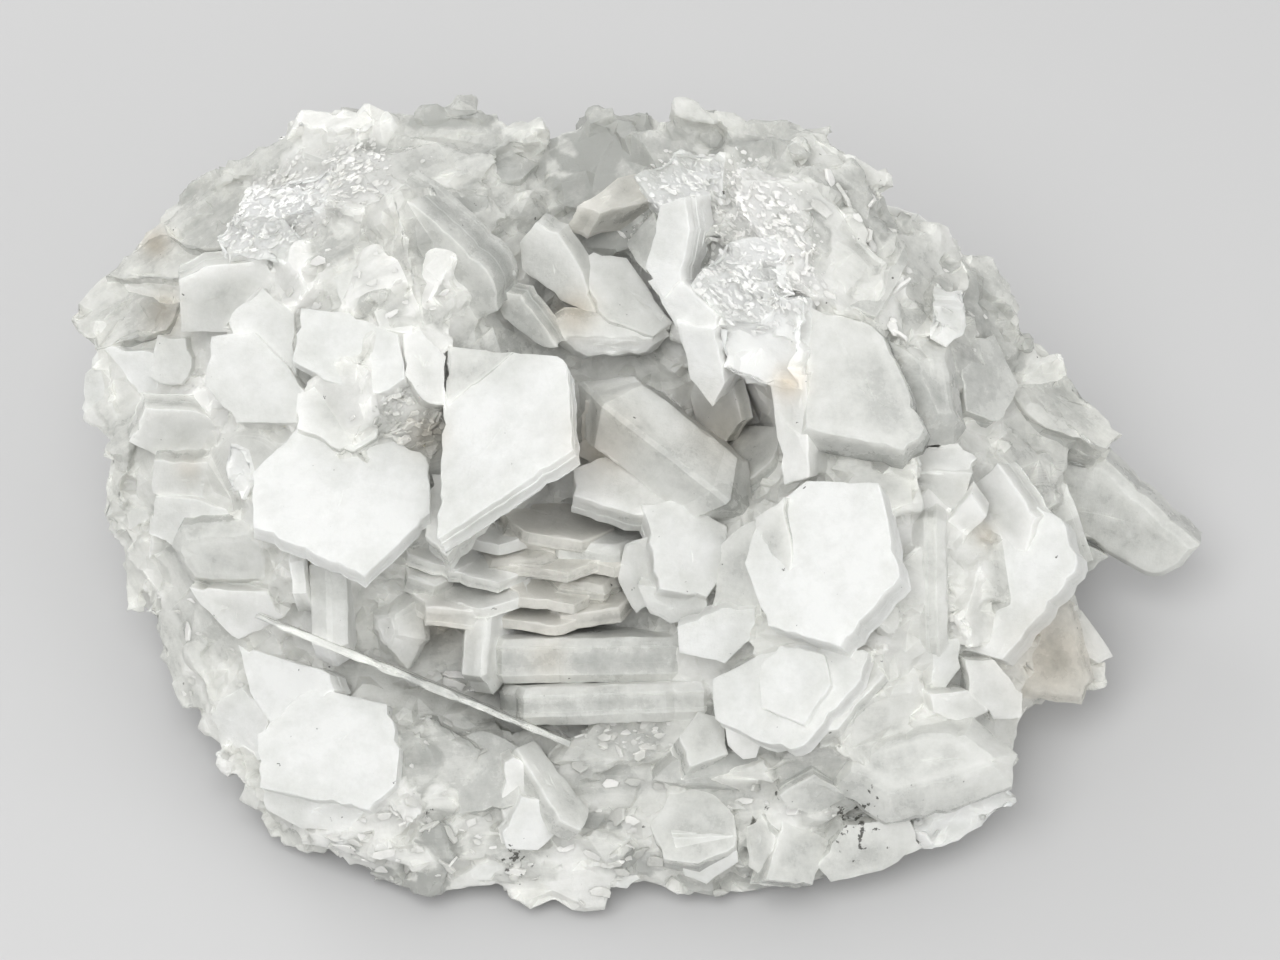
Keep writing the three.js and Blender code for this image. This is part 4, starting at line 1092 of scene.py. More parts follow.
    def tint(self, mesh: Mesh, blank: Blank, local: np.ndarray, rim: np.ndarray, number: int) -> None:
        """Writes what the finish reads: how white the cap and the sides are, and where the rims are.

        Args:
            mesh: the crystal's mesh.
            blank: the chip.
            local: its points in its own frame.
            rim: how far each point is from the rim.
            number: the chip's own number.
        """
        tone = TONES[blank.look]
        draw = random.Random(number + 500)
        whiteness = tone.milk * draw.uniform(0.9, 1.08)
        bearing = draw.uniform(0, 2 * math.pi)
        across = local[:, 0] * math.cos(bearing) + local[:, 1] * math.sin(bearing)
        across /= np.abs(across).max()
        depth = -local[:, 2]
        on_cap = smooth(0.35, 0.0, depth)
        core = np.exp(-(((depth / blank.thick - 0.5) / 0.25) ** 2))
        fade = WHITE_FADE if tone.milk > WHITISH else GREY_FADE
        cap_milk = whiteness * (fade.at_rim + fade.inwards * smooth(fade.start, fade.end, rim))
        side_milk = whiteness * 0.9 + 0.04 - fade.core_grey * core
        milk = side_milk + (cap_milk - side_milk) * on_cap + 0.1 * across
        dress(mesh, local, milk, np.where(depth > 0.3, NO_RIM, rim), tone)


# ---- The broken mass ----

# Its rim, seen square-on to the face, clockwise from the left.
RIM = [
    (-59, 10), (-60.5, 18), (-59, 25.5), (-54, 31.5), (-47.5, 37.2), (-39.4, 41.8), (-35, 44),
    (-30, 43.2), (-20.5, 43.8), (-13, 42), (-4, 42.6), (2, 42), (5, 43.8), (16, 42.2), (23.6, 39),
    (29.6, 33.4), (36.4, 30.6), (40, 25), (46, 18), (50, 12), (50, 5), (48, 0), (50, -6), (51.5, -12),
    (51.5, -20), (45.3, -23.5), (42.8, -31), (36.8, -37.4), (30, -40.2), (20, -43.2), (11.8, -43.7),
    (1.6, -43), (-8.6, -42.2), (-18.5, -41.5), (-25, -39.4), (-32.5, -37.4), (-38, -35.8),
    (-42, -33.5), (-46, -27.5), (-49, -20), (-53, -14), (-56, -8.5), (-58.6, -3), (-59.6, 3),
]
# Its swells and hollows: x, y, height and reach.
SWELLS = [
    (-30, 6, 20, 20), (22, -8, 21, 20), (18, 30, 20, 18), (-25, 30, 13, 18), (27, 12, 7, 10),
    (42, -8, 6, 10), (3, 6, 3, 10), (11, 9, -12, 7), (0, -36, 13, 22), (-22, -38, 6, 14),
    (24, -38, 3, 14), (-35, -28, 9, 16), (30, -28, 6, 15), (-8, -6, -4, 12),
]


@dataclass
class BrokenMass:
    """The mass that the crystals stand on, with a flat underside.

    Args:
        rim: its rim, seen square-on to the face, clockwise from the left.
        rim_level: how far out of the face it would stand with no swells.
        swells: its swells and hollows, as x, y, height and reach.
        side_bulge: how far its sides bulge.
        full_bulge_height: the height below which a side bulges less.
        underside_shares: how far the underside is drawn in across and along.
        underside_set_back: how far the underside is set back.
        zones: how far out each zone of rings reaches, how many rings it has, and how many points a ring has
            for each corner of the rim.
        side_rings: how many rings the sides have.
    """

    rim: Pairs = field(default_factory=lambda: list(RIM))
    rim_level: float = -12
    swells: list[tuple[float, float, float, float]] = field(default_factory=lambda: list(SWELLS))
    side_bulge: float = 3
    full_bulge_height: float = 32
    underside_shares: tuple[float, float] = (0.84, 0.93)
    underside_set_back: float = 3.3
    zones: tuple[tuple[float, int, int], ...] = ((0.14, 3, 1), (0.3, 6, 2), (0.55, 11, 4), (1.0, 22, 8))
    side_rings: int = 20

    def build(self) -> Object:
        """Builds the mass: its face from the middle out, its sides, and its underside.

        Returns:
            The mass.
        """
        rings = self.rings_of_face()
        rings += self.rings_of_sides(rings[-1])
        faces, inner, start = [], None, 1
        for ring in rings:
            outer = (start, len(ring))
            faces += self.strip(inner, outer)
            inner, start = outer, start + len(ring)
        first, count = inner
        faces += [(start, first + (i + 1) % count, first + i) for i in range(count)]
        placed = np.vstack([self.raised(np.zeros((1, 2))), *rings, np.zeros((1, 3))])
        made = solid_object("broken_mass", placed, faces)
        set_values(made.data, "crumble", np.full(len(placed), TONES[MATRIX].crumble), "POINT")
        return made

    def raised(self, flat: np.ndarray) -> np.ndarray:
        """Raises places on the face to the mass's surface.

        Args:
            flat: the places, one a row, as x and y.

        Returns:
            Where they are on the specimen.
        """
        x, y = flat[:, 0], flat[:, 1]
        level = np.full(len(flat), float(self.rim_level))
        for cx, cy, height, reach in self.swells:
            level = level + height * np.exp(-((x - cx) ** 2 + (y - cy) ** 2) / reach**2)
        return moved(np.column_stack([flat, level]), face_matrix())

    def rim_of(self, per_side: int) -> np.ndarray:
        """Lays points along the rim, anticlockwise.

        Args:
            per_side: how many points each side has.

        Returns:
            The points, one a row.
        """
        corners = np.array(self.rim[::-1], dtype=float)
        ends = np.roll(corners, -1, axis=0)
        shares = np.arange(per_side)[None, :, None] / per_side
        return (corners[:, None] + (ends - corners)[:, None] * shares).reshape(-1, 2)

    def rings_of_face(self) -> list[np.ndarray]:
        """Lays rings of points over the face.

        Returns:
            The rings, from the middle out.
        """
        rings, reached = [], 0.0
        for reach, count, per_side in self.zones:
            rim = self.rim_of(per_side)
            for step in range(1, count + 1):
                rings.append(self.raised(rim * (reached + (reach - reached) * step / count)))
            reached = reach
        return rings

    def rings_of_sides(self, edge: np.ndarray) -> list[np.ndarray]:
        """Lays rings of points from the edge of the face down to the underside.

        Args:
            edge: the outermost ring of the face.

        Returns:
            The rings, from the top down.
        """
        centre = np.array(FACE_CENTRE[:2])
        foot = np.zeros_like(edge)
        foot[:, :2] = centre + (edge[:, :2] - centre) * np.array(self.underside_shares)
        foot[:, 1] += self.underside_set_back
        outwards = edge * np.array([1, 1, 0])
        outwards /= np.linalg.norm(outwards, axis=1)[:, None]
        swing = np.minimum(1, edge[:, 2] / self.full_bulge_height) * self.side_bulge
        rings = []
        for step in range(1, self.side_rings + 1):
            part = step / self.side_rings
            bulge = outwards * (swing * math.sin(math.pi * part))[:, None]
            rings.append(edge + (foot - edge) * part + bulge)
        return rings

    def strip(self, inner: tuple[int, int] | None, outer: tuple[int, int]) -> list[Face]:
        """Joins a ring to the next one out, which has as many points or twice as many.

        Args:
            inner: the inner ring's first point and its number of points, or None for the middle point.
            outer: the outer ring's first point and its number of points.

        Returns:
            The faces between them.
        """
        start, count = outer
        if inner is None:
            return [(0, start + i, start + (i + 1) % count) for i in range(count)]
        before, fewer = inner
        faces = []
        for i in range(fewer):
            a, b = before + i, before + (i + 1) % fewer
            if fewer == count:
                faces.append((a, start + i, start + (i + 1) % count, b))
            else:
                c, d, e = (start + (2 * i + k) % count for k in range(3))
                faces += [(a, c, d), (a, d, b), (b, d, e)]
        return faces


# ---- The small plates ----


@dataclass
class PlateShapes:
    """The few outlines that the small broken plates repeat.

    Args:
        kinds: how many outlines there are.
        first_seed: the seed of the first outline.
        thick: the thickness, as a share of the plate's half-width.
        proud: how much of that stands out of what it lies on.
        chamfer: how far the upper rim is cut in, as a share of the half-width.
        foot: how far the lower rim reaches, as a share of the half-width.
    """

    kinds: int = 12
    first_seed: int = 100
    thick: float = 0.4
    proud: float = 0.16
    chamfer: float = 0.08
    foot: float = 0.97

    def build(self) -> Collection:
        """Builds one plate of each outline, a millimetre in half-width.

        Returns:
            The plates.
        """
        plates = bpy.data.collections.new("plate_shapes")
        for kind in range(self.kinds):
            plates.objects.link(self.plate(f"plate_{kind}", random.Random(self.first_seed + kind)))
        return plates

    def plate(self, name: str, draw: random.Random) -> Object:
        """Builds one plate.

        Args:
            name: the object's name.
            draw: the source of its random numbers.

        Returns:
            The plate.
        """
        count = draw.choice((5, 6, 7, 8))
        bearings = [2 * math.pi * (i + draw.uniform(-0.35, 0.35)) / count for i in range(count)]
        reaches = [draw.uniform(0.7, 1.15) for _ in bearings]
        rim = np.array([[r * math.cos(b), r * math.sin(b)] for r, b in zip(reaches, bearings)])
        rim[:, 0] *= draw.uniform(1.1, 1.8)
        rim[:, 1] *= draw.uniform(0.45, 0.95)
        levels = (
            (1 - self.chamfer, self.proud),
            (1.0, self.proud - self.chamfer),
            (self.foot, self.proud - self.thick),
        )
        points = np.vstack([np.column_stack([rim * size, np.full(count, z)]) for size, z in levels])
        faces = ring_faces([0, count, 2 * count], count)
        faces.append(tuple(range(count)))
        faces.append(tuple(reversed(range(2 * count, 3 * count))))
        return solid_object(name, points, faces)


@dataclass
class Drift:
    """A part of the specimen that is covered with small plates.

    Args:
        at: the middle of the part, as seen square-on to the face.
        reach: how far it reaches along its long way and across it.
        turn: the bearing of its long way, in degrees.
        density: the plates to a square millimetre.
        size: the least and the greatest half-width of a plate.
        along: the bearing of the plates' long ways, in degrees.
        spread: how far the plates stray from lying flat and from that bearing.
        milk: the least and the greatest whiteness.
    """

    at: tuple[float, float]
    reach: tuple[float, float]
    turn: float
    density: float
    size: tuple[float, float]
    along: float
    spread: float
    milk: tuple[float, float]

    def weight(self, place: np.ndarray) -> np.ndarray:
        """Gives how much each place on the face is in the drift, from 0 to 1."""
        along, across = turned(place[:, :2] - self.at, self.turn)
        return 1 - smooth(0.8, 1.1, np.hypot(along / self.reach[0], across / self.reach[1]))

    def way(self) -> Vector:
        """Gives the way that the plates' long sides run."""
        bearing = math.radians(self.along)
        return face_matrix().to_3x3() @ Vector((math.cos(bearing), math.sin(bearing), 0))


@dataclass
class Patch:
    """A place whose crystal isn't coloured like the rest.

    Args:
        x: how far right of the middle of the face it is.
        y: how far above the middle of the face it is.
        reach: how far it reaches.
        brown: how brown its middle is: stained, or painted shade in a hollow.
        white: how much whiter its middle is, or clearer where it is below 0; in a few hollows it is painted
            light or painted shade.
        dirt: how thickly its middle is specked with dirt.
    """

    x: float
    y: float
    reach: float
    brown: float = 0.0
    white: float = 0.0
    dirt: float = 0.0

    def weight(self, place: np.ndarray) -> np.ndarray:
        """Gives how much each place on the face is in the patch, from 0 to 1."""
        away = np.hypot(place[:, 0] - self.x, place[:, 1] - self.y)
        return np.exp(-((away / self.reach) ** 2))


class Chance(Enum):
    """What is random about a plate, each with a number that sets it apart from the others."""

    TILT = 1
    WAY = 2
    SIZE = 3
    MILK = 4
    SHAPE = 5


class DriftTree:
    """The geometry nodes that lay small plates over a surface."""

    INPUTS = (
        ("Plates to a square metre", "NodeSocketFloat"),
        ("Least half-width", "NodeSocketFloat"),
        ("Greatest half-width", "NodeSocketFloat"),
        ("Along", "NodeSocketVector"),
        ("Spread", "NodeSocketFloat"),
        ("Least milk", "NodeSocketFloat"),
        ("Greatest milk", "NodeSocketFloat"),
        ("Seed", "NodeSocketInt"),
    )
    FEW_LARGE = 2.2  # past 1, most plates of a drift are small and a few are large
    MOST_SHAPES = 20  # the greatest number drawn for a plate's shape; past the last shape it starts again

    def __init__(self, plates: Collection, finish: Material) -> None:
        """Builds the tree.

        Args:
            plates: the collection of plates that it repeats.
            finish: the plates' material.
        """
        self.tree = bpy.data.node_groups.new("plate_drift", "GeometryNodeTree")
        self.board = NodeBoard(self.tree)
        face = self.tree.interface
        face.new_socket("Surface", in_out="INPUT", socket_type="NodeSocketGeometry")
        for name, kind in self.INPUTS:
            face.new_socket(name, in_out="INPUT", socket_type=kind)
        face.new_socket("Plates", in_out="OUTPUT", socket_type="NodeSocketGeometry")
        self.given = self.board.add("NodeGroupInput", {}).outputs
        laid = self.whitened(self.placed(self.scattered(), plates))
        real = self.board.add("GeometryNodeRealizeInstances", {"Geometry": laid}).outputs[0]
        given = {"Geometry": real, "Material": finish}
        dressed = self.board.add("GeometryNodeSetMaterial", given).outputs[0]
        self.board.feed(self.board.add("NodeGroupOutput", {}).inputs[0], dressed)

    def random(self, kind: str, low: object, high: object, what: Chance) -> NodeSocket:
        """Adds a random value for each plate.

        Args:
            kind: FLOAT or FLOAT_VECTOR.
            low: the least value, as a socket or a number.
            high: the greatest value.
            what: what the value is for.

        Returns:
            The value.
        """
        end = {"FLOAT": "_001", "FLOAT_VECTOR": ""}[kind]
        seed = self.board.math("ADD", self.given["Seed"], what.value)
        given = {f"Min{end}": low, f"Max{end}": high, "Seed": seed}
        node = self.board.add("FunctionNodeRandomValue", given, data_type=kind)
        return next(socket for socket in node.outputs if socket.identifier == f"Value{end}")

    def scattered(self) -> Node:
        """Scatters points over the surface, as thick as its drift attribute says.

        Returns:
            The node that scatters them.
        """
        weight = self.board.add("GeometryNodeInputNamedAttribute", {"Name": "drift"}, data_type="FLOAT")
        most = self.given["Plates to a square metre"]
        density = self.board.math("MULTIPLY", weight.outputs["Attribute"], most)
        given = {"Mesh": self.given["Surface"], "Density": density, "Seed": self.given["Seed"]}
        return self.board.add("GeometryNodeDistributePointsOnFaces", given)

    def placed(self, scattered: Node, plates: Collection) -> NodeSocket:
        """Puts a turned and sized plate on each point.

        Args:
            scattered: the node that scatters the points.
            plates: the collection of plates.

        Returns:
            The plates, as instances.
        """
        given = {"Collection": plates, "Separate Children": True, "Reset Children": True}
        shapes = self.board.add("GeometryNodeCollectionInfo", given)
        given = {"Vector": self.strayed(scattered.outputs["Normal"], Chance.TILT)}
        aimed = self.board.add("FunctionNodeAlignRotationToVector", given, axis="Z")
        given = {"Rotation": aimed.outputs[0], "Vector": self.strayed(self.given["Along"], Chance.WAY)}
        spun = self.board.add("FunctionNodeAlignRotationToVector", given, axis="X", pivot_axis="Z")
        part = self.board.math("POWER", self.random("FLOAT", 0.0, 1.0, Chance.SIZE), self.FEW_LARGE)
        least, greatest = self.given["Least half-width"], self.given["Greatest half-width"]
        size = self.board.add("ShaderNodeMapRange", {"Value": part, "To Min": least, "To Max": greatest})
        given = {
            "Points": scattered.outputs["Points"],
            "Instance": shapes.outputs[0],
            "Pick Instance": True,
            "Instance Index": self.random("FLOAT", 0, self.MOST_SHAPES, Chance.SHAPE),
            "Rotation": spun.outputs[0],
            "Scale": size.outputs["Result"],
        }
        return self.board.add("GeometryNodeInstanceOnPoints", given).outputs[0]

    def strayed(self, way: NodeSocket, what: Chance) -> NodeSocket:
        """Adds a random stray to a direction.

        Args:
            way: the direction.
            what: what the direction is for.

        Returns:
            The strayed direction.
        """
        stray = self.random("FLOAT_VECTOR", (-1, -1, -1), (1, 1, 1), what)
        given = {"Vector": stray, "Vector_001": self.given["Spread"], "Vector_002": way}
        return self.board.add("ShaderNodeVectorMath", given, operation="MULTIPLY_ADD").outputs[0]

    def whitened(self, placed: NodeSocket) -> NodeSocket:
        """Gives each plate its own whiteness.

        Args:
            placed: the plates, as instances.

        Returns:
            The same plates.
        """
        milk = self.random("FLOAT", self.given["Least milk"], self.given["Greatest milk"], Chance.MILK)
        given = {"Geometry": placed, "Name": "plate_milk", "Value": milk}
        settings = {"data_type": "FLOAT", "domain": "INSTANCE"}
        return self.board.add("GeometryNodeStoreNamedAttribute", given, **settings).outputs[0]

    def lay(self, surface: Object, drift: Drift, seed: int) -> Mesh:
        """Lays one drift over a surface that carries the drift attribute.

        Args:
            surface: the object to cover.
            drift: what to lay.
            seed: the seed of its random numbers.

        Returns:
            The plates, as a plain mesh.
        """
        values = (drift.density / MM**2, *drift.size, drift.way(), drift.spread, *drift.milk, seed)
        layer = surface.modifiers.new("drift", "NODES")
        layer.node_group = self.tree
        names = {item.name: item.identifier for item in self.tree.interface.items_tree}
        for (name, _), value in zip(self.INPUTS, values):
            layer[names[name]] = value
        plates = evaluated_mesh(surface)
        surface.modifiers.remove(layer)
        return plates


# The flakes that the surface of the mass is made of.
FLAKES = [
    # the upper left swell
    Drift(at=(-38, 20), reach=(20, 16), turn=30, density=0.05, size=(2.0, 8.0), along=25, spread=0.16,
        milk=(0.5, 0.95)),
    # the crown
    Drift(at=(-40, 36), reach=(24, 9), turn=30, density=0.05, size=(2.0, 9.0), along=38, spread=0.14,
        milk=(0.15, 0.75)),
    Drift(at=(-8, 38), reach=(20, 9), turn=0, density=0.05, size=(2.0, 7.0), along=10, spread=0.2,
        milk=(0.0, 0.3)),
    Drift(at=(24, 30), reach=(26, 15), turn=-38, density=0.06, size=(2.0, 8.0), along=-38, spread=0.24,
        milk=(0.1, 0.6)),
    # the left flank
    Drift(at=(-52, -14), reach=(30, 14), turn=-60, density=0.05, size=(2.0, 9.0), along=-60, spread=0.14,
        milk=(0.3, 0.75)),
    # the front, white at its left end
    Drift(at=(-36, -36), reach=(12, 8), turn=0, density=0.08, size=(1.6, 6.0), along=0, spread=0.3,
        milk=(0.6, 0.9)),
    Drift(at=(6, -36), reach=(44, 12), turn=0, density=0.06, size=(1.6, 6.0), along=0, spread=0.3,
        milk=(0.0, 0.7)),
    # all the rest
    Drift(at=(0, 0), reach=(90, 70), turn=0, density=0.03, size=(1.6, 6.0), along=20, spread=0.25,
        milk=(0.3, 0.75)),
]

# The small plates and grains that lie over the broken parts.
LEFT_DRIFTS = [
    # the rough white band of the crown
    Drift(at=(-39, 35), reach=(12, 4.5), turn=28, density=5.0, size=(0.12, 0.5), along=30, spread=0.35,
        milk=(0.6, 1.0)),
    # the swell
    Drift(at=(-34, 20), reach=(16, 10), turn=30, density=0.08, size=(0.3, 1.3), along=25, spread=0.3,
        milk=(0.75, 1.0)),
    # the crumbled hollow of the swell
    Drift(at=(-25, 10), reach=(5, 4), turn=30, density=2.0, size=(0.15, 0.7), along=0, spread=0.5,
        milk=(0.3, 0.8)),
    # the front and the left flank
    Drift(at=(-34, -26), reach=(30, 22), turn=0, density=0.05, size=(0.3, 1.0), along=-35, spread=0.4,
        milk=(0.4, 0.9)),
]
RIGHT_DRIFTS = [
    # the rough white part of the crown
    Drift(at=(10, 30), reach=(12, 9), turn=-38, density=4.0, size=(0.12, 0.5), along=-38, spread=0.35,
        milk=(0.75, 1.05)),
    # the rest of the crown
    Drift(at=(30, 26), reach=(16, 8), turn=-38, density=0.08, size=(0.3, 1.3), along=-38, spread=0.28,
        milk=(0.5, 0.95)),
    # the front
    Drift(at=(2, -38), reach=(42, 8), turn=0, density=0.12, size=(0.3, 1.2), along=0, spread=0.4,
        milk=(0.3, 0.95)),
    # the crinkled patch in the middle of the front
    Drift(at=(0, -25), reach=(6, 3), turn=0, density=1.5, size=(0.2, 0.8), along=0, spread=0.5,
        milk=(0.5, 0.95)),
]

# Where the specimen is dirty, stained, whiter or clearer than the rest, and where light or shade is painted
# into a few hollows.
PATCHES = [
    # specks of dirt
    Patch(24.5, -35.2, 3.6, dirt=1.2),
    Patch(15.5, -33, 1.6, dirt=1),
    Patch(-13.5, -39.6, 2.2, dirt=1.2),
    Patch(-23.5, -34.5, 1.4, dirt=1),
    Patch(-40.5, -27, 1, dirt=0.8),
    # stains, and painted shade in hollows
    Patch(-55.5, 30.5, 1.6, brown=0.9, white=-0.3),
    Patch(17, 14, 1.8, brown=0.9, white=-0.2),
    Patch(39.5, -3, 1.4, brown=0.5, white=-0.2),
    Patch(-10, -17, 2.2, brown=0.4),
    # painted shade: browner and darker in the pit of the left swell
    Patch(-23.3, 8.2, 2.2, brown=0.6, white=-0.15),
    # painted shade: browner and darker in the shadow hole under the crown's chips
    Patch(-7, 22, 2.4, brown=0.8, white=-0.3),
    # painted shade, in these two: the hollow round the chip on edge between the swells is browner and
    # darker
    Patch(10, 9, 4, brown=0.4, white=-0.1),
    Patch(-3.5, 7.5, 4, brown=0.5, white=-0.1),
    Patch(-22, -13.5, 3, brown=0.4),
    Patch(47.5, -17, 5, brown=0.5, white=-0.15),
    Patch(-54.5, 22.5, 2.2, brown=0.6, white=-0.3),
    Patch(-51, 4.6, 1.5, brown=0.4),
    # the white curl that runs down from the crown
    Patch(9, 34, 5, white=0.35),
    Patch(4, 25, 3.5, white=0.3),
    # the foot of the white curl, whitened further as painted light in the deep hollow in shade beside it
    Patch(12.5, 13, 4, white=0.5),
    Patch(20, 27, 5, white=0.2),
    # white crests, and painted light in one shaded hollow
    Patch(-28.5, 32.5, 3, white=0.3),
    Patch(-42, 34, 5, white=0.2),
    Patch(-4.4, 31, 3, white=0.25),
    Patch(32, 20, 3, white=0.3),
    Patch(45.6, 12.6, 2.5, white=0.25),
    Patch(-36, -17, 4, white=0.2),
    # painted light: whitens the hollow in shade under the tip of a chip
    Patch(-9, 1, 3.5, white=0.3),
    # clearer crystal
    Patch(-1.5, 40, 4, white=-0.35),
    Patch(-18, 38.5, 4, white=-0.3),
    Patch(-32.5, 29.3, 4, white=-0.25),
    Patch(-12, 23.3, 2.5, white=-0.3),
    Patch(24.3, 32.4, 4, white=-0.25),
    Patch(24.3, 19.4, 4, white=-0.15),
    Patch(30.4, 2, 2.5, white=-0.3),
    Patch(-1.5, -31.3, 3, white=-0.3),
    Patch(10.7, -35, 4, white=-0.2),
    Patch(60.7, -4.8, 3, white=-0.2),
    Patch(50, 14, 4, white=-0.3),
    Patch(-8, 41.5, 5, white=-0.35),
    Patch(29, 15, 4, white=-0.3),
    Patch(-32.5, 7.4, 5, white=-0.2),
    Patch(-14.3, 15.7, 4, white=-0.2),
    Patch(-29.4, 17.2, 3, white=-0.2),
    Patch(16, -3.3, 4, white=-0.15),
]


# ---- The flaked surface of the mass ----

LEAST_CRUMBLE = 0.24  # how broken a surface has to be to carry plates, as its relief in millimetres


def lay_drifts(
    surface: Object, tree: DriftTree, drifts: list[Drift], first_seed: int, foot: float, least_facing: float
) -> Object:
    """Lays drifts of plates over the broken parts of a surface.

    Args:
        surface: the object to cover, which carries the crumble attribute.
        tree: the nodes that lay plates.
        drifts: where the plates lie.
        first_seed: the seed of the first drift.
        foot: the height under which there are no plates, in millimetres.
        least_facing: how much the surface has to face out of the face, from -1 to 1.

    Returns:
        The plates, in one object.
    """
    mesh = surface.data
    points = points_of(mesh)
    place = on_face(points)
    outwards = normals_of(mesh) @ np.array(face_matrix().to_3x3())[:, 2]
    crumbled = values_of(mesh, "crumble") > LEAST_CRUMBLE
    broken = crumbled & (points[:, 2] > foot) & (outwards > least_facing)
    laid = []
    for seed, drift in enumerate(drifts, start=first_seed):
        set_values(mesh, "drift", broken * drift.weight(place), "POINT")
        laid.append(in_scene(f"drift_{seed}", tree.lay(surface, drift, seed)))
    mesh.attributes.remove(mesh.attributes["drift"])
    join_into(laid[0], laid[1:])
    return laid[0]


@dataclass
class FlakedMass:
    """The broken mass once its surface is flaked: flakes laid over it and grown into it.

    Args:
        mass: the bare mass.
        drifts: where the flakes lie.
        grain: the least detail that is left, in millimetres.
        kept: the share of the faces that is kept.
        first_seed: the seed of the first drift.
        foot: the height under which there are no flakes.
    """

    mass: BrokenMass
    drifts: list[Drift]
    grain: float = 0.55
    kept: float = 0.33
    first_seed: int = 40
    foot: float = 4.0

    def build(self, tree: DriftTree) -> Object:
        """Builds the flaked mass.

        Args:
            tree: the nodes that lay flakes.

        Returns:
            The mass, closed, with what its finish reads.
        """
        base = self.mass.build()
        bpy.context.scene.collection.objects.link(base)
        flakes = lay_drifts(base, tree, self.drifts, self.first_seed, self.foot, -1)
        whiteness = values_of(flakes.data, "plate_milk")
        nearest = BVHTree.FromObject(flakes, bpy.context.evaluated_depsgraph_get())
        first_points = [face.vertices[0] for face in flakes.data.polygons]
        join_into(base, [flakes])
        remesh = base.modifiers.new("remesh", "REMESH")
        remesh.mode, remesh.voxel_size, remesh.adaptivity = "VOXEL", self.grain * MM, 0
        base.modifiers.new("fewer", "DECIMATE").ratio = self.kept
        mesh = evaluated_mesh(base)
        bpy.data.objects.remove(base)

        tone = TONES[MATRIX]
        points = points_of(mesh)
        milk = np.full(len(points), tone.milk)
        for row, point in enumerate(points):
            _, _, face, _ = nearest.find_nearest(Vector(point * MM), 2 * self.grain * MM)
            if face is not None:
                milk[row] = whiteness[first_points[face]]
        dress(mesh, along_streaks(on_face(points)), milk, np.full(len(points), NO_RIM), tone)
        return in_scene("flaked_mass", mesh)


# ---- The specimen ----


def fit_box(mesh: Mesh) -> None:
    """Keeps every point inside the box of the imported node."""
    low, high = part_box(NODE)
    move_points(mesh, np.clip(points_of(mesh), np.array(low) / MM, np.array(high) / MM))


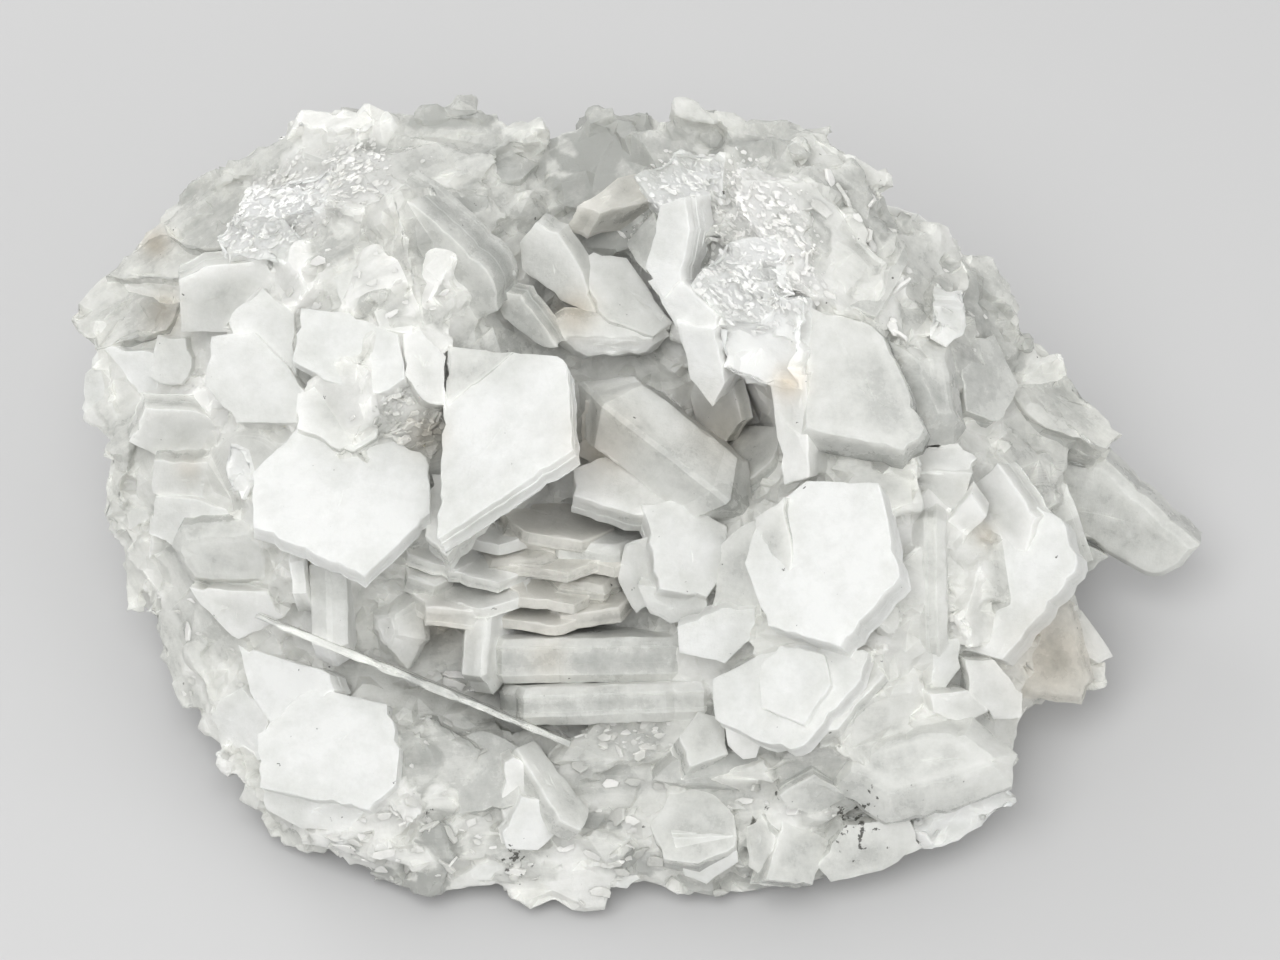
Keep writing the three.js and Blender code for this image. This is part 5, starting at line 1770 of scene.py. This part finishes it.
@dataclass
class Specimen:
    """The whole specimen: the mass and its crystals, joined and weathered.

    Args:
        mass: the broken mass.
        works: what the crystals are worked with.
        crease: the angle between faces past which their edge stays sharp, in degrees.
        sliver: the shortest edge that is kept.
        smooth_foot: the height under which the surface isn't roughened.
        grain_of_left: the bearing of the left half's streaks, in degrees.
        grain_of_right: the bearing of the right half's.
        facets: how fine the broken facets are along the streaks, across them and out of the face.
        facet_height: how high the facets are.
        soft_lumps: how fine and how high the softer lumps are.
    """

    mass: BrokenMass = field(default_factory=BrokenMass)
    works: ChipWorks = field(default_factory=ChipWorks)
    crease: float = 22
    sliver: float = 0.005
    smooth_foot: float = 0.4
    grain_of_left: float = 40
    grain_of_right: float = -38
    facets: Place = (0.2, 0.42, 0.3)
    facet_height: float = 2.2
    soft_lumps: tuple[tuple[float, float], ...] = ((0.3, 0.6), (1.1, 0.3))

    def build(self, finish: Material, tree: DriftTree) -> Object:
        """Builds the specimen in one closed mesh.

        Args:
            finish: its material.
            tree: the nodes that lay flakes.

        Returns:
            The specimen.
        """
        crystals = bpy.data.collections.new("crystals")
        bpy.context.scene.collection.children.link(crystals)
        for number, chip in enumerate(CHIPS, start=1):
            crystals.objects.link(self.works.build(f"crystal_{number}", chip.blank(), number))
        base = FlakedMass(self.mass, FLAKES).build(tree)
        log.info("flaked mass: %d faces", len(base.data.polygons))
        mesh = self.joined(base, crystals)
        for leftover in [base, *crystals.objects]:
            bpy.data.objects.remove(leftover)
        bpy.data.collections.remove(crystals)
        self.keep_largest(mesh)
        self.mend(mesh)
        self.weather(mesh)
        self.tint_patches(mesh)
        fit_box(mesh)
        mesh.materials.clear()
        mesh.materials.append(finish)
        mesh.set_sharp_from_angle(angle=math.radians(self.crease))
        return in_scene("specimen", mesh)

    def joined(self, base: Object, crystals: Collection) -> Mesh:
        """Joins the crystals to the mass and cuts the result flat at the table.

        Args:
            base: the mass.
            crystals: the collection that holds the crystals.

        Returns:
            The joined mesh.
        """
        below = bpy.data.meshes.new("below_table")
        with opened(below) as shape:
            bmesh.ops.create_cube(shape, size=1.0, matrix=Matrix.Translation((0, 0, -0.5)))
        cutter = in_scene("below_table", below)
        join = base.modifiers.new("join", "BOOLEAN")
        join.operation, join.solver = "UNION", "MANIFOLD"
        join.operand_type, join.collection = "COLLECTION", crystals
        cut = base.modifiers.new("cut", "BOOLEAN")
        cut.operation, cut.solver, cut.object = "DIFFERENCE", "MANIFOLD", cutter
        joined = evaluated_mesh(base)
        bpy.data.objects.remove(cutter)
        return joined

    def keep_largest(self, mesh: Mesh) -> None:
        """Keeps the outer skin of a mesh and drops what the crystals closed inside it.

        Args:
            mesh: the mesh.
        """
        with opened(mesh) as shape:
            bmesh.ops.triangulate(shape, faces=shape.faces)
            islands, seen = [], set()
            for first in shape.verts:
                if first in seen:
                    continue
                seen.add(first)
                island, front = [], [first]
                while front:
                    vert = front.pop()
                    island.append(vert)
                    beyond = {edge.other_vert(vert) for edge in vert.link_edges} - seen
                    seen |= beyond
                    front += beyond
                islands.append(island)
            outer = max(islands, key=len)
            inner = [vert for island in islands if island is not outer for vert in island]
            bmesh.ops.delete(shape, geom=inner, context="VERTS")

    def mend(self, mesh: Mesh) -> None:
        """Takes out slivers, faces that are folded flat onto each other and faces that hang by one edge.

        Args:
            mesh: the mesh.
        """
        with opened(mesh) as shape:
            bmesh.ops.dissolve_degenerate(shape, dist=self.sliver * MM, edges=shape.edges)
            bmesh.ops.triangulate(shape, faces=shape.faces)
            alike: dict[frozenset[bmesh.types.BMVert], list[bmesh.types.BMFace]] = {}
            for face in shape.faces:
                alike.setdefault(frozenset(face.verts), []).append(face)
            folded = [face for faces in alike.values() if len(faces) > 1 for face in faces]
            bmesh.ops.delete(shape, geom=folded, context="FACES")
            hanging = []
            for face in shape.faces:
                if {1, 3} <= {len(edge.link_faces) for edge in face.edges}:
                    hanging.append(face)
            bmesh.ops.delete(shape, geom=hanging, context="FACES")

    def weather(self, mesh: Mesh) -> None:
        """Roughens a mesh: streaked and broken where it crumbled, nearly smooth on the crystals.

        Args:
            mesh: the mesh.
        """
        points = points_of(mesh)
        relief = np.array([self.relief(Vector(place)) for place in on_face(points)])
        out = values_of(mesh, "crumble") * relief
        out[points[:, 2] < self.smooth_foot] = 0
        move_points(mesh, points + normals_of(mesh) * out[:, None])

    def relief(self, place: Vector) -> float:
        """Works out the relief of the broken surface: facets that step and tilt, and softer lumps.

        Args:
            place: a place on the face.

        Returns:
            The height there, from about -1 to 1.
        """
        turn = math.radians(self.grain_of_left if place.x < 0 else self.grain_of_right)
        along = place.x * math.cos(turn) + place.y * math.sin(turn)
        across = place.y * math.cos(turn) - place.x * math.sin(turn)
        fine_along, fine_across, fine_out = self.facets
        stretched = Vector((along * fine_along, across * fine_across, place.z * fine_out))
        centre = noise.voronoi(stretched)[1][0]
        level = noise.cell(centre * 7.3)
        tilt = noise.cell_vector(centre * 5.1) - Vector((0.5, 0.5, 0.5))
        facet = 2.0 * (stretched - centre).dot(tilt) + (level - 0.5)
        height = self.facet_height * facet
        for fineness, rise in self.soft_lumps:
            height += rise * noise.noise(place * fineness)
        return height

    def tint_patches(self, mesh: Mesh) -> None:
        """Stains, whitens, clears and dirties a mesh in its patches, and paints light and shade into a few
        hollows.

        Args:
            mesh: the mesh.
        """
        place = on_face(points_of(mesh))
        brown, white, dirt = np.zeros((3, len(place)))
        for patch in PATCHES:
            weight = patch.weight(place)
            brown += patch.brown * weight
            white += patch.white * weight
            dirt += patch.dirt * weight
        corners = corners_of(mesh)
        set_values(mesh, "dirt", dirt, "POINT")
        set_values(mesh, "warmth", values_of(mesh, "warmth") + brown[corners], "CORNER")
        set_values(mesh, "milk", values_of(mesh, "milk") + white[corners], "CORNER")


@dataclass
class PlateDrifts:
    """The small broken plates that cover a group of parts.

    Args:
        name: the name of the piece.
        drifts: the parts that it covers.
        first_seed: the seed of the first part.
        foot: the height under which there are no plates.
    """

    name: str
    drifts: list[Drift]
    first_seed: int
    foot: float = 3.0

    def build(self, specimen: Object, tree: DriftTree, finish: Material) -> Object:
        """Lays the plates over the broken parts of the specimen.

        Args:
            specimen: the mass and its crystals.
            tree: the nodes that lay plates.
            finish: the plates' material.

        Returns:
            The plates, in one object.
        """
        plates = lay_drifts(specimen, tree, self.drifts, self.first_seed, self.foot, 0)
        plates.name = self.name
        fit_box(plates.data)
        plates.data.materials.clear()
        plates.data.materials.append(finish)
        return plates


# ---- The finish ----


class FinishBoard(NodeBoard):
    """The nodes of a material, with short ways to add the ones that a mineral needs."""

    def attribute(self, name: str) -> NodeSocket:
        """Reads a number that the mesh carries."""
        return self.add("ShaderNodeAttribute", {}, attribute_name=name).outputs["Fac"]

    def noise(self, place: NodeSocket, scale: float, detail: float, roughness: float) -> NodeSocket:
        """Adds a noise.

        Args:
            place: where the noise is read.
            scale: its lumps to a metre, or to one unit of place.
            detail: how many finer layers it has.
            roughness: how strong they are.

        Returns:
            The noise, from 0 to 1.
        """
        given = {"Vector": place, "Scale": scale, "Detail": detail, "Roughness": roughness}
        return self.add("ShaderNodeTexNoise", given).outputs["Fac"]

    def ranged(self, value: NodeSocket, start: float, end: float, first: float, last: float) -> NodeSocket:
        """Maps a range of values to another, smoothly.

        Args:
            value: what goes in.
            start: the start of the range it is in.
            end: the end of that range.
            first: what the start becomes.
            last: what the end becomes.

        Returns:
            The mapped value.
        """
        given = {"Value": value, "From Min": start, "From Max": end, "To Min": first, "To Max": last}
        return self.add("ShaderNodeMapRange", given, interpolation_type="SMOOTHSTEP").outputs["Result"]

    def mixed(self, blend: str, part: NodeSocket, under: NodeSocket, over: Colour) -> NodeSocket:
        """Lays one colour over another.

        Args:
            blend: how the two go together.
            part: how much of the upper colour there is, from 0 to 1.
            under: the lower colour.
            over: the upper colour.

        Returns:
            The mixed colour.
        """
        given = {"Factor_Float": part, "A_Color": under, "B_Color": over}
        mix = self.add("ShaderNodeMix", given, data_type="RGBA", blend_type=blend)
        return next(socket for socket in mix.outputs if socket.identifier == "Result_Color")


@dataclass(frozen=True)
class CalciteFinish:
    """Milky calcite: white and frosted where it is full of veils, grey and clearer elsewhere.

    Args:
        clear: the colour of the clear, grey crystal.
        cloudy: the colour halfway to white.
        snow: the colour of the frosted white crystal.
        brown: what the crystal is tinted by where it is smoky or stained, and where shade is painted into a
            hollow.
        dirt: the colour of specks of dirt.
        glow: how far light spreads under the surface, in millimetres.
        glow_of_colours: how far each of red, green and blue spreads, as a share of that.
        relief: how deep the finest relief is, in millimetres.
        milk: the name of the attribute that says how white the crystal is.
        warmth_of_all: how smoky it is, where the mesh doesn't say so.
        veils: how strong the fine white veils are.
        clouds: how strong the wide clouds are.
        frost: how much whiter its edges are.
        streak: how strong the white and clear streaks of the broken parts are.
        stretch: how fine the streaks are along, across and out of the surface.
        roughness: how rough the clearest and the whitest crystal are.
    """

    clear: Colour = (0.42, 0.43, 0.41, 1)
    cloudy: Colour = (0.69, 0.7, 0.67, 1)
    snow: Colour = (0.85, 0.857, 0.84, 1)
    brown: Colour = (0.88, 0.79, 0.69, 1)
    dirt: Colour = (0.05, 0.048, 0.04, 1)
    glow: float = 1.8
    glow_of_colours: Place = (1.0, 0.98, 0.94)
    relief: float = 0.3
    milk: str = "milk"
    warmth_of_all: float = 0.0
    veils: float = 1.0
    clouds: float = 0.9
    frost: float = 0.12
    streak: float = 0.45
    stretch: Place = (0.07, 0.55, 0.3)
    roughness: tuple[float, float] = (0.24, 0.5)

    def material(self, name: str) -> Material:
        """Builds the material.

        Args:
            name: the material's name.

        Returns:
            The material.
        """
        made = bpy.data.materials.new(name)
        made.use_nodes = True
        board = FinishBoard(made.node_tree)
        place = board.add("ShaderNodeTexCoord", {}).outputs["Object"]
        white = self.whiteness(board, place)
        given = {
            "Base Color": self.colour(board, place, white),
            "Roughness": board.ranged(white, 0.1, 0.9, *self.roughness),
            "IOR": 1.5,
            "Subsurface Weight": 0.85,
            "Subsurface Radius": self.glow_of_colours,
            "Subsurface Scale": self.glow * MM,
            "Normal": self.grained(board, place),
        }
        shader = made.node_tree.nodes["Principled BSDF"]
        shader.subsurface_method = "BURLEY"
        for socket, value in given.items():
            board.feed(shader.inputs[socket], value)
        return made

    def whiteness(self, board: FinishBoard, place: NodeSocket) -> NodeSocket:
        """Adds up what makes the crystal whiter or clearer.

        Args:
            board: the material's nodes.
            place: where the veils and clouds are read.

        Returns:
            How white it is, from 0 to 1.
        """
        fine = board.noise(place, scale=330, detail=8, roughness=0.72)
        wide = board.noise(place, scale=110, detail=4, roughness=0.55)
        parts = (
            board.math("MULTIPLY_ADD", fine, self.veils, -self.veils / 2),
            board.math("MULTIPLY_ADD", wide, self.clouds, -self.clouds / 2),
            self.streaks(board),
            board.ranged(board.attribute("rim"), 0.0, 0.35, self.frost, 0.0),
        )
        total = board.attribute(self.milk)
        for part in parts:
            total = board.math("ADD", total, part)
        return total

    def streaks(self, board: FinishBoard) -> NodeSocket:
        """Adds the streaks of the broken parts, which run along the x of the solid's own frame.

        Args:
            board: the material's nodes.

        Returns:
            How much whiter the crystal is, or clearer where it is below 0.
        """
        local = board.add("ShaderNodeAttribute", {}, attribute_name="local").outputs["Vector"]
        given = {"Vector": local, "Vector_001": self.stretch}
        drawn_out = board.add("ShaderNodeVectorMath", given, operation="MULTIPLY").outputs[0]
        lines = board.noise(drawn_out, scale=1.0, detail=6, roughness=0.65)
        either_way = board.math("MULTIPLY_ADD", lines, 1.9, -0.95)
        broken = board.ranged(board.attribute("crumble"), 0.15, 0.2, 0.0, self.streak)
        return board.math("MULTIPLY", either_way, broken)

    def colour(self, board: FinishBoard, place: NodeSocket, white: NodeSocket) -> NodeSocket:
        """Colours the crystal by its whiteness, then browns it where it is stained or painted with shade,
        and specks it with dirt.

        Args:
            board: the material's nodes.
            place: where the specks are read.
            white: how white the crystal is.

        Returns:
            The colour.
        """
        ramp = board.add("ShaderNodeValToRGB", {"Fac": white})
        ramp.color_ramp.elements[0].color = self.clear
        ramp.color_ramp.elements[1].color = self.snow
        ramp.color_ramp.elements.new(0.5).color = self.cloudy
        warmth = board.math("ADD", board.attribute("warmth"), self.warmth_of_all)
        # brown for stains, and painted shade in a few hollows
        stained_or_shaded = board.mixed("MULTIPLY", warmth, ramp.outputs["Color"], self.brown)
        grit = board.noise(place, scale=900, detail=3, roughness=0.6)
        dirty = board.math("MULTIPLY_ADD", board.attribute("dirt"), 0.16, -0.16)
        specks = board.ranged(board.math("ADD", grit, dirty), 0.56, 0.62, 0.0, 0.9)
        return board.mixed("MIX", specks, stained_or_shaded, self.dirt)

    def grained(self, board: FinishBoard, place: NodeSocket) -> NodeSocket:
        """Adds the finest relief.

        Args:
            board: the material's nodes.
            place: where the relief is read.

        Returns:
            The way that the grained surface faces.
        """
        grains = board.noise(place, scale=800, detail=6, roughness=0.8)
        given = {"Strength": 0.7, "Distance": self.relief * MM, "Height": grains}
        return board.add("ShaderNodeBump", given).outputs["Normal"]


# ---- The studio ----


@dataclass(frozen=True)
class Lamp:
    """A soft square light that faces the specimen.

    Args:
        name: the light's name.
        place: where it hangs, in millimetres.
        width: how wide it is, in millimetres.
        power: its power, in watts.
    """

    name: str
    place: Place
    width: float
    power: float

    def hang(self) -> None:
        """Hangs the light in the scene."""
        data = bpy.data.lights.new(self.name, "AREA")
        data.size, data.energy = self.width * MM, self.power
        lamp = in_scene(self.name, data)
        lamp.location = Vector(self.place) * MM
        aim = Vector(FACE_CENTRE) * MM - lamp.location
        lamp.rotation_euler = aim.to_track_quat("-Z", "Y").to_euler()


@dataclass
class Studio:
    """A plain pale floor, soft lights and the camera.

    Args:
        lamps: the lights.
        daylight: how bright the surroundings are.
        floor_half: half the floor's width, in metres.
        floor_colour: the floor's colour.
        camera_at: where the camera is, seen from the face, in millimetres.
        lens: its focal length.
        sensor: how wide its sensor is.
    """

    lamps: tuple[Lamp, ...] = (
        Lamp("key", (-120, -260, 620), 420, 2.08),
        Lamp("fill", (420, -300, 260), 400, 0.5),
        Lamp("back", (-260, 380, 300), 300, 0.5),
    )
    daylight: float = 0.62
    floor_half: float = 3
    floor_colour: Colour = (0.62, 0.62, 0.62, 1)
    camera_at: Place = (0.45, 3.2, 600)
    lens: float = 148.5
    sensor: float = 36

    def build(self) -> None:
        """Builds the studio."""
        self.floor()
        for lamp in self.lamps:
            lamp.hang()
        self.camera()
        world = bpy.data.worlds.new("studio")
        world.use_nodes = True
        around = world.node_tree.nodes["Background"]
        around.inputs["Color"].default_value = (1, 1, 1, 1)
        around.inputs["Strength"].default_value = self.daylight
        scene = bpy.context.scene
        scene.world = world
        scene.cycles.diffuse_bounces = 2
        scene.view_settings.view_transform = "Standard"
        scene.view_settings.look = "None"
        scene.view_settings.exposure = 0.0

    def floor(self) -> None:
        """Lays the floor."""
        mesh = bpy.data.meshes.new("floor")
        with opened(mesh) as shape:
            bmesh.ops.create_grid(shape, x_segments=1, y_segments=1, size=self.floor_half)
        paint = bpy.data.materials.new("floor_paint")
        paint.use_nodes = True
        shader = paint.node_tree.nodes["Principled BSDF"]
        shader.inputs["Base Color"].default_value = self.floor_colour
        shader.inputs["Roughness"].default_value = 0.8
        mesh.materials.append(paint)
        in_scene("floor", mesh)

    def camera(self) -> None:
        """Sets the camera square-on to the face."""
        data = bpy.data.cameras.new("camera")
        data.lens, data.sensor_width = self.lens, self.sensor
        data.clip_start, data.clip_end = 0.01, 10
        camera = in_scene("camera", data)
        camera.location = (face_matrix() @ Vector(self.camera_at)) * MM
        camera.rotation_euler = (math.radians(FACE_TIP), 0, 0)
        bpy.context.scene.camera = camera


def main() -> None:
    """Builds the specimen and its studio."""
    logging.basicConfig(level=logging.INFO, format="%(name)s: %(message)s")
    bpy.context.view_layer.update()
    Studio().build()
    calcite = CalciteFinish().material("calcite")
    grains = CalciteFinish(
        snow=(0.92, 0.925, 0.91, 1), glow=0.4, milk="plate_milk", warmth_of_all=0.04, frost=0.0
    ).material("calcite_grains")
    tree = DriftTree(PlateShapes().build(), grains)
    specimen = Specimen().build(calcite, tree)
    left = PlateDrifts("plates_of_left_half", LEFT_DRIFTS, first_seed=10).build(specimen, tree, grains)
    right = PlateDrifts("plates_of_right_half", RIGHT_DRIFTS, first_seed=20).build(specimen, tree, grains)
    for piece in (specimen, left, right):
        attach(piece, "root")
        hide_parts(NODE)
        log.info("%s: %d faces", piece.name, len(piece.data.polygons))


if __name__ == "__main__":
    main()
